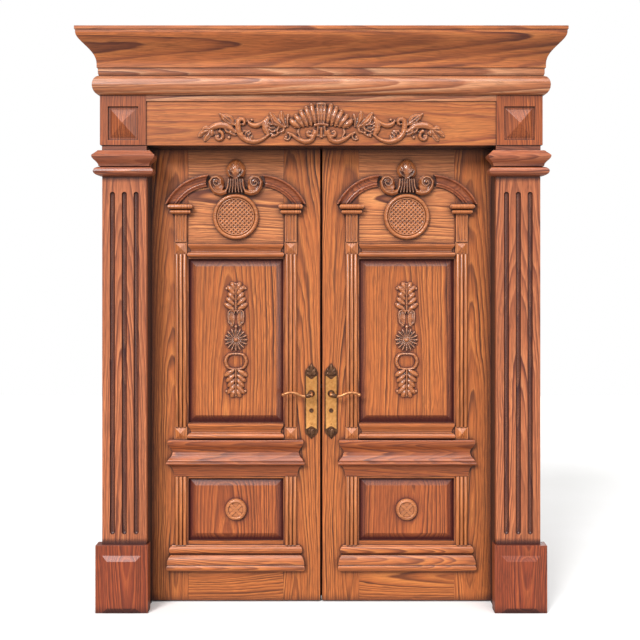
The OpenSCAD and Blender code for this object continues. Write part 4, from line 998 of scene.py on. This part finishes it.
@dataclass
class HandleSet:
    """Gilt fields, cast leaves, collars, keyholes and screws on the handle plates of one leaf."""

    joinery: Joinery
    side: Side
    rose_t: float = 0.005
    field_half: float = 0.0262
    field_t: float = 0.0024
    field_bed: float = 0.0004
    field_z: Pair = (0.8425, 1.0995)
    field_rim: Pair = (0.0022, 0.0008)
    field_edge: float = 0.0005
    stations: int = 3
    station_share: float = 3.6
    notch: float = 0.016
    point: float = 0.013
    head_leaf: Point = (1.1005, 1.0, 0.056)
    foot_leaf: Point = (0.8415, -1.0, 0.045)
    lobe_turn: float = 27.0
    lobe_reach: Point = (1.0, 0.74, 0.5)
    lobe_spread: float = 1.1
    lobe_sink: float = 0.001
    lobe_half: float = 0.0088
    lobe_thin: float = 0.0012
    lobe_t: float = 0.0055
    vein: Pair = (0.0016, 0.0012)
    leaf_skin: float = 0.0009
    key_z: float = 0.932
    key_disc: Point = (0.003, 0.0105, 0.005)
    key_rim: float = 0.003
    key_way: Pair = (0.0004, 0.0035)
    key_edge: float = 0.0006
    screw_z: Pair = (0.868, 1.072)
    screw_disc: Point = (0.0026, 0.0042, 0.003)
    screw_front: float = 0.004
    screw_dome: tuple[float, int] = (0.0012, 3)
    slot_half: float = 0.00055
    slot_pick: float = 0.0004
    slot_depth: float = 0.0009
    lever_z: float = 1.014
    collar_disc: Point = (0.0105, 0.0138, 0.009)
    collar_step: Pair = (0.0028, -0.0022)
    collar_edge: tuple[float, int] = (0.0012, 3)
    root_at: Point = (0.014, 0.0092, -0.0035)
    root_radii: Point = (0.025, 0.0105, 0.0112)
    root_tilt: float = 16.0
    root_end: Pair = (0.022, -0.007)
    root_thin: Point = (1.0, 0.9, 0.78)
    rings: Point = (0.004, 0.013, 0.022)
    ring_half: float = 0.0022
    ring_drop: float = -0.004
    ring_swell: Point = (1.0, 1.1, 1.1)

    def __post_init__(self) -> None:
        """Takes the place of the right leaf's plates from the frame."""
        low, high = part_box("right_handle_plates")
        self.x = (low.x + high.x) / 2
        self.face = low.y + self.rose_t
        self.middle = (low.y + high.y) / 2

    def build(self) -> None:
        """Models the front fittings on the right leaf's plate and copies them to this leaf's two faces."""
        leaf, lever = f"{self.side.value}_leaf", f"{self.side.value}_lever_set"
        brass, bronze = self.joinery.metal(BRASS), self.joinery.metal(BRONZE)
        self._both(self._field(), brass, leaf, "satin_brass")
        self._both(self._leaf("head_leaf", *self.head_leaf), bronze, leaf, "bronze")
        self._both(self._leaf("foot_leaf", *self.foot_leaf), bronze, leaf, "bronze")
        self._both(self._keyhole(), bronze, leaf, "bronze")
        self._both(self._screws(), brass, leaf, "satin_brass")
        self._both(self._collar(), bronze, lever, "bronze")

    def _both(self, piece: Workpiece, metal: Material, body: str, slot: str) -> None:
        """Turns a piece made for the right leaf's front into this leaf's front and rear pieces.

        Args:
            piece: The piece, which is used up.
            metal: Its finish.
            body: The body it moves with.
            slot: The record's material slot.
        """
        name = f"{self.side.value}_{piece.obj.name}"
        across = Matrix.Diagonal((self.side.way, 1.0, 1.0, 1.0))
        behind = Matrix.Translation((0.0, 2 * self.middle, 0.0)) @ Matrix.Diagonal((1.0, -1.0, 1.0, 1.0))
        piece.copied(f"{name}_rear", across @ behind).dress(metal, body, slot)
        piece.copied(f"{name}_front", across).dress(metal, body, slot)
        bpy.data.objects.remove(piece.obj)

    def _disc(self, name: str, z: float, stand: float, radius: float, thick: float,
              sides: int = 32) -> Workpiece:
        """A turned blank at a height on the plate, its middle standing before the plate's face."""
        return Workpiece.turned(name, (self.x, self.face - stand, z), radius, thick, sides)

    def _field(self) -> Workpiece:
        """The gilt field: a plate with a notched head, a pointed foot and a raised rim.

        Returns:
            The piece.
        """
        half, (low, high) = self.field_half, self.field_z
        piece = Workpiece.block("handle_field", (self.x - half, self.face - self.field_t, low),
                                (self.x + half, self.face + self.field_bed, high))
        steps = range(-self.stations, self.stations + 1)
        for step in steps:
            piece.slice((self.x + half * step / self.station_share, 0.0, 0.0), (1.0, 0.0, 0.0))
        for step in steps:
            at = self.x + half * step / self.station_share
            share = 0.5 + 0.5 * math.cos(math.pi * step / self.station_share)
            for end, move in ((high, -self.notch), (low, self.point)):
                piece.points(lambda p: abs(p.x - at) < NEAR and abs(p.z - end) < NEAR)
                piece.push((0.0, 0.0, move * share))
        return piece.faces(lambda c, n: in_front(n)).sink(*self.field_rim).soften(self.field_edge)

    def _leaf(self, name: str, root: float, way: float, length: float) -> Workpiece:
        """A cast leaf of five lobes that fills one end of the plate.

        Args:
            name: The piece's name.
            root: Height of its root.
            way: 1 for upward, -1 for downward.
            length: Its length.

        Returns:
            The piece.
        """
        lobes = []
        y = self.face - self.lobe_sink
        for spread in range(-2, 3):
            turn = math.radians(self.lobe_turn * spread)
            cos, sin = math.cos(turn), math.sin(turn)
            reach = length * self.lobe_reach[abs(spread)] / 2
            x, z = self.x + self.lobe_spread * reach * sin, root + way * reach * cos
            radii = (self.lobe_half - self.lobe_thin * abs(spread), self.lobe_t, reach)
            lobe = Workpiece.pebble(f"{name}_lobe", (x, y, z), radii, self.lobe_turn * spread * way)
            lobe.points(lambda p: p.y < y and abs((p.x - x) * cos - way * (p.z - z) * sin) < self.vein[0])
            lobes.append(lobe.push((0.0, self.vein[1], 0.0)))
        lobes[0].gather(*lobes[1:])
        lobes[0].obj.name = name
        return lobes[0].sanded(self.leaf_skin, 3)

    def _keyhole(self) -> Workpiece:
        """A dark ring with a sunk key way.

        Returns:
            The piece.
        """
        piece = self._disc("keyhole", self.key_z, *self.key_disc)
        piece.faces(lambda c, n: in_front(n)).sink(self.key_rim, 0.0)
        piece.faces(lambda c, n: in_front(n) and math.hypot(c.x - self.x, c.z - self.key_z) < NEAR)
        return piece.sink(*self.key_way).soften(self.key_edge)

    def _screws(self) -> Workpiece:
        """Two domed slotted screws, one near each end of the field.

        Returns:
            Both, as one piece.
        """
        heads = []
        front = self.face - self.screw_front
        for z in self.screw_z:
            head = self._disc("plate_screw", z, *self.screw_disc, sides=24)
            head.edges(lambda a, b: a.y < front and b.y < front).ease(*self.screw_dome)
            for side in (-1.0, 1.0):
                head.slice((self.x, 0.0, z + side * self.slot_half), (0.0, 0.0, 1.0))
            head.faces(lambda c, n: in_front(n) and abs(c.z - z) < self.slot_pick)
            heads.append(head.draw_out((0.0, self.slot_depth, 0.0)))
        return heads[0].gather(heads[1])

    def _collar(self) -> Workpiece:
        """The dark ringed collar and cast root of the lever.

        Returns:
            Both, as one piece.
        """
        neck = self._disc("lever_collar", self.lever_z, *self.collar_disc)
        neck.faces(lambda c, n: in_front(n)).sink(*self.collar_step).soften(*self.collar_edge)
        x, y, z = self.root_at
        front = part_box("right_lever")[0].y + y
        centre = (self.x + x, front, self.lever_z + z)
        root = Workpiece.pebble("lever_root", centre, self.root_radii, self.root_tilt)
        x, z = self.root_end
        root.points(lambda p: p.x > self.x + x).swell(self.root_thin, (self.x + x, front, self.lever_z + z))
        for ring in self.rings:
            root.points(lambda p: abs(p.x - self.x - ring) < self.ring_half)
            root.swell(self.ring_swell, (self.x + ring, front, self.lever_z + self.ring_drop))
        return neck.gather(root.finish("SUBSURF", levels=1, render_levels=1))


@dataclass
class MeetingGapShades:
    """Strips let into the meeting edges of the leaves that close the gap between them; their near-black pile
    colour is painted shade for the dark gap.
    """

    left_back: float = 0.0125
    right_back: float = 0.0065
    depth: float = 0.004
    reach: float = 0.0031
    sunk: float = 0.0006
    foot: float = 0.012
    head: float = 0.001
    cuts: int = 40
    nose: float = 0.0011
    nose_pick: float = 0.0002
    pile: Point = (300.0, 300.0, 2600.0)
    # Painted shade: near-black pile colours for the gap between the leaves.
    pile_stops: tuple[tuple[float, Colour], ...] = ((0.3, (16, 12, 11)), (0.7, (44, 34, 30)))
    relief: Pair = (0.0003, 0.6)

    def build(self) -> None:
        """Models one strip to each leaf, the right one behind the left one."""
        for side, back in ((Side.LEFT, self.left_back), (Side.RIGHT, self.right_back)):
            self._strip(side, back).settle().dress(self._brush(side), f"{side.value}_leaf", "carved_wood")

    def _strip(self, side: Side, back: float) -> Workpiece:
        """One strip with a rounded nose.

        Args:
            side: The leaf it is let into.
            back: How far it lies before the leaf's rear face.

        Returns:
            The strip.
        """
        low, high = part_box(f"{side.value}_lock_stile")
        edge = high.x if side is Side.LEFT else low.x
        rear, tip = high.y - back, edge - side.way * self.reach
        xs = sorted((edge + side.way * self.sunk, tip))
        piece = Workpiece.block(f"{side.value}_meeting_seal", (xs[0], rear - self.depth, low.z + self.foot),
                                (xs[1], rear, high.z - self.head))
        for step in range(1, self.cuts):
            piece.slice((0.0, 0.0, low.z + (high.z - low.z) * step / self.cuts), (0.0, 0.0, 1.0))
        near = self.nose_pick
        piece.edges(lambda a, b: abs(a.x - tip) < near and abs(b.x - tip) < near and abs(a.y - b.y) < near)
        return piece.ease(self.nose)

    def _brush(self, side: Side) -> Material:
        """Near-black upright pile, painted shade for the gap between the leaves.

        Args:
            side: The leaf it is let into.

        Returns:
            The material.
        """
        recipe = Recipe(f"{side.value}_brush")
        pile = recipe.noise(recipe.stretch(recipe.place(), self.pile), 1.0, 2.0)
        recipe.fill(recipe.shader, {"Base Color": recipe.ramp(pile, self.pile_stops), "Roughness": MATT})
        recipe.relief(pile, *self.relief)
        return recipe.material


@dataclass
class Ironmongery:
    """Hinges, lock, bolts and handles."""

    joinery: Joinery

    def build(self) -> None:
        """Dresses the metal nodes and adds the fittings on them."""
        self.joinery.metalwork("jamb_hinges", BRONZE)
        for side in Side:
            for part, metal in (("hinges", BRONZE), ("handle_plates", BRONZE), ("lever", LEVER_BRASS),
                                ("lock_case", STEEL)):
                self.joinery.metalwork(f"{side.value}_{part}", metal)
            HandleSet(self.joinery, side).build()
        for node in ("latch_bolt", "dead_bolt", "top_bolt", "foot_bolt"):
            self.joinery.metalwork(node, STEEL)
        MeetingGapShades().build()


@dataclass(frozen=True)
class Window:
    """A broad light from far away, even over the whole height."""

    name: str
    source: Point
    spread: float
    power: float

    def hang(self) -> None:
        """Adds the light to the scene."""
        lamp = bpy.data.lights.new(self.name, "SUN")
        lamp.angle = math.radians(self.spread)
        lamp.energy = self.power
        obj = bpy.data.objects.new(self.name, lamp)
        obj.rotation_euler = Vector(self.source).to_track_quat("Z", "Y").to_euler()
        bpy.context.scene.collection.objects.link(obj)


WINDOWS = (
    Window("key_light", (-0.38, -0.78, 0.50), 20.0, 2.7),
    Window("top_light", (0.05, -0.45, 0.89), 45.0, 1.5),
    Window("fill_light", (0.62, -0.78, 0.08), 30.0, 0.6),
    Window("back_light", (0.35, 0.80, 0.48), 30.0, 0.8))


@dataclass
class Studio:
    """Pale floor, soft lights and the camera in front of the doorway."""

    eye: Point = (0.0, -4.9335, 1.630)
    lens: float = 57.75
    sensor: float = 36.0
    shift: Pair = (-0.002, -0.083)
    floor_size: float = 16.0
    floor_cells: int = 4
    floor_clouds: float = 1.2
    paint: tuple[tuple[float, Colour], ...] = ((0.3, (246, 246, 245)), (0.7, (250, 250, 250)))
    bounce: Colour = (168, 164, 160)
    room: Span = (1.0, 0.99, 0.98, 1.0)
    room_power: float = 0.38

    def build(self) -> None:
        """Sets the stage."""
        self._floor()
        self._sky()
        for window in WINDOWS:
            window.hang()
        self._camera()
        bpy.context.scene.view_settings.view_transform = "Standard"

    def _floor(self) -> None:
        """A wide floor of slightly clouded pale paint, which throws little light back up."""
        floor = Workpiece.made("floor", bpy.ops.mesh.primitive_grid_add, x_subdivisions=self.floor_cells,
                               y_subdivisions=self.floor_cells, size=self.floor_size).obj
        recipe = Recipe("pale_floor")
        cloud = recipe.noise(recipe.place(), self.floor_clouds)
        paint = recipe.ramp(cloud, self.paint)
        seen = recipe.add("LightPath", {}).outputs["Is Camera Ray"]
        colour = recipe.blend(seen, self.bounce, paint)
        recipe.fill(recipe.shader, {"Base Color": colour, "Roughness": MATT})
        floor.data.materials.append(recipe.material)

    def _sky(self) -> None:
        """An even pale room light, and a white backdrop where the camera sees past the object."""
        world = bpy.data.worlds.new("room")
        bpy.context.scene.world = world
        world.use_nodes = True
        tree = world.node_tree
        room = tree.nodes["Background"]
        backdrop = tree.nodes.new("ShaderNodeBackground")
        white = (1.0, 1.0, 1.0, 1.0)
        for node, colour, power in ((room, self.room, self.room_power), (backdrop, white, 1.0)):
            node.inputs["Color"].default_value = colour
            node.inputs["Strength"].default_value = power
        choice = tree.nodes.new("ShaderNodeMixShader")
        path = tree.nodes.new("ShaderNodeLightPath")
        sources = (path.outputs["Is Camera Ray"], room.outputs[0], backdrop.outputs[0])
        for source, socket in zip(sources, choice.inputs):
            tree.links.new(source, socket)
        tree.links.new(choice.outputs[0], tree.nodes["World Output"].inputs["Surface"])

    def _camera(self) -> None:
        """A level camera in front of the meeting of the leaves."""
        camera = bpy.data.cameras.new("camera")
        camera.lens = self.lens
        camera.sensor_width = self.sensor
        camera.shift_x, camera.shift_y = self.shift
        obj = bpy.data.objects.new("camera", camera)
        obj.location = self.eye
        obj.rotation_euler = TO_FRONT
        bpy.context.scene.collection.objects.link(obj)
        bpy.context.scene.camera = obj


def main() -> None:
    """Builds and dresses the door, then sets the stage."""
    bpy.ops.object.select_all(action="DESELECT")
    joinery = Joinery()
    Surround(joinery).build()
    for side in Side:
        Leaf(joinery, side).build()
    Ironmongery(joinery).build()
    Studio().build()


if __name__ == "__main__":
    main()
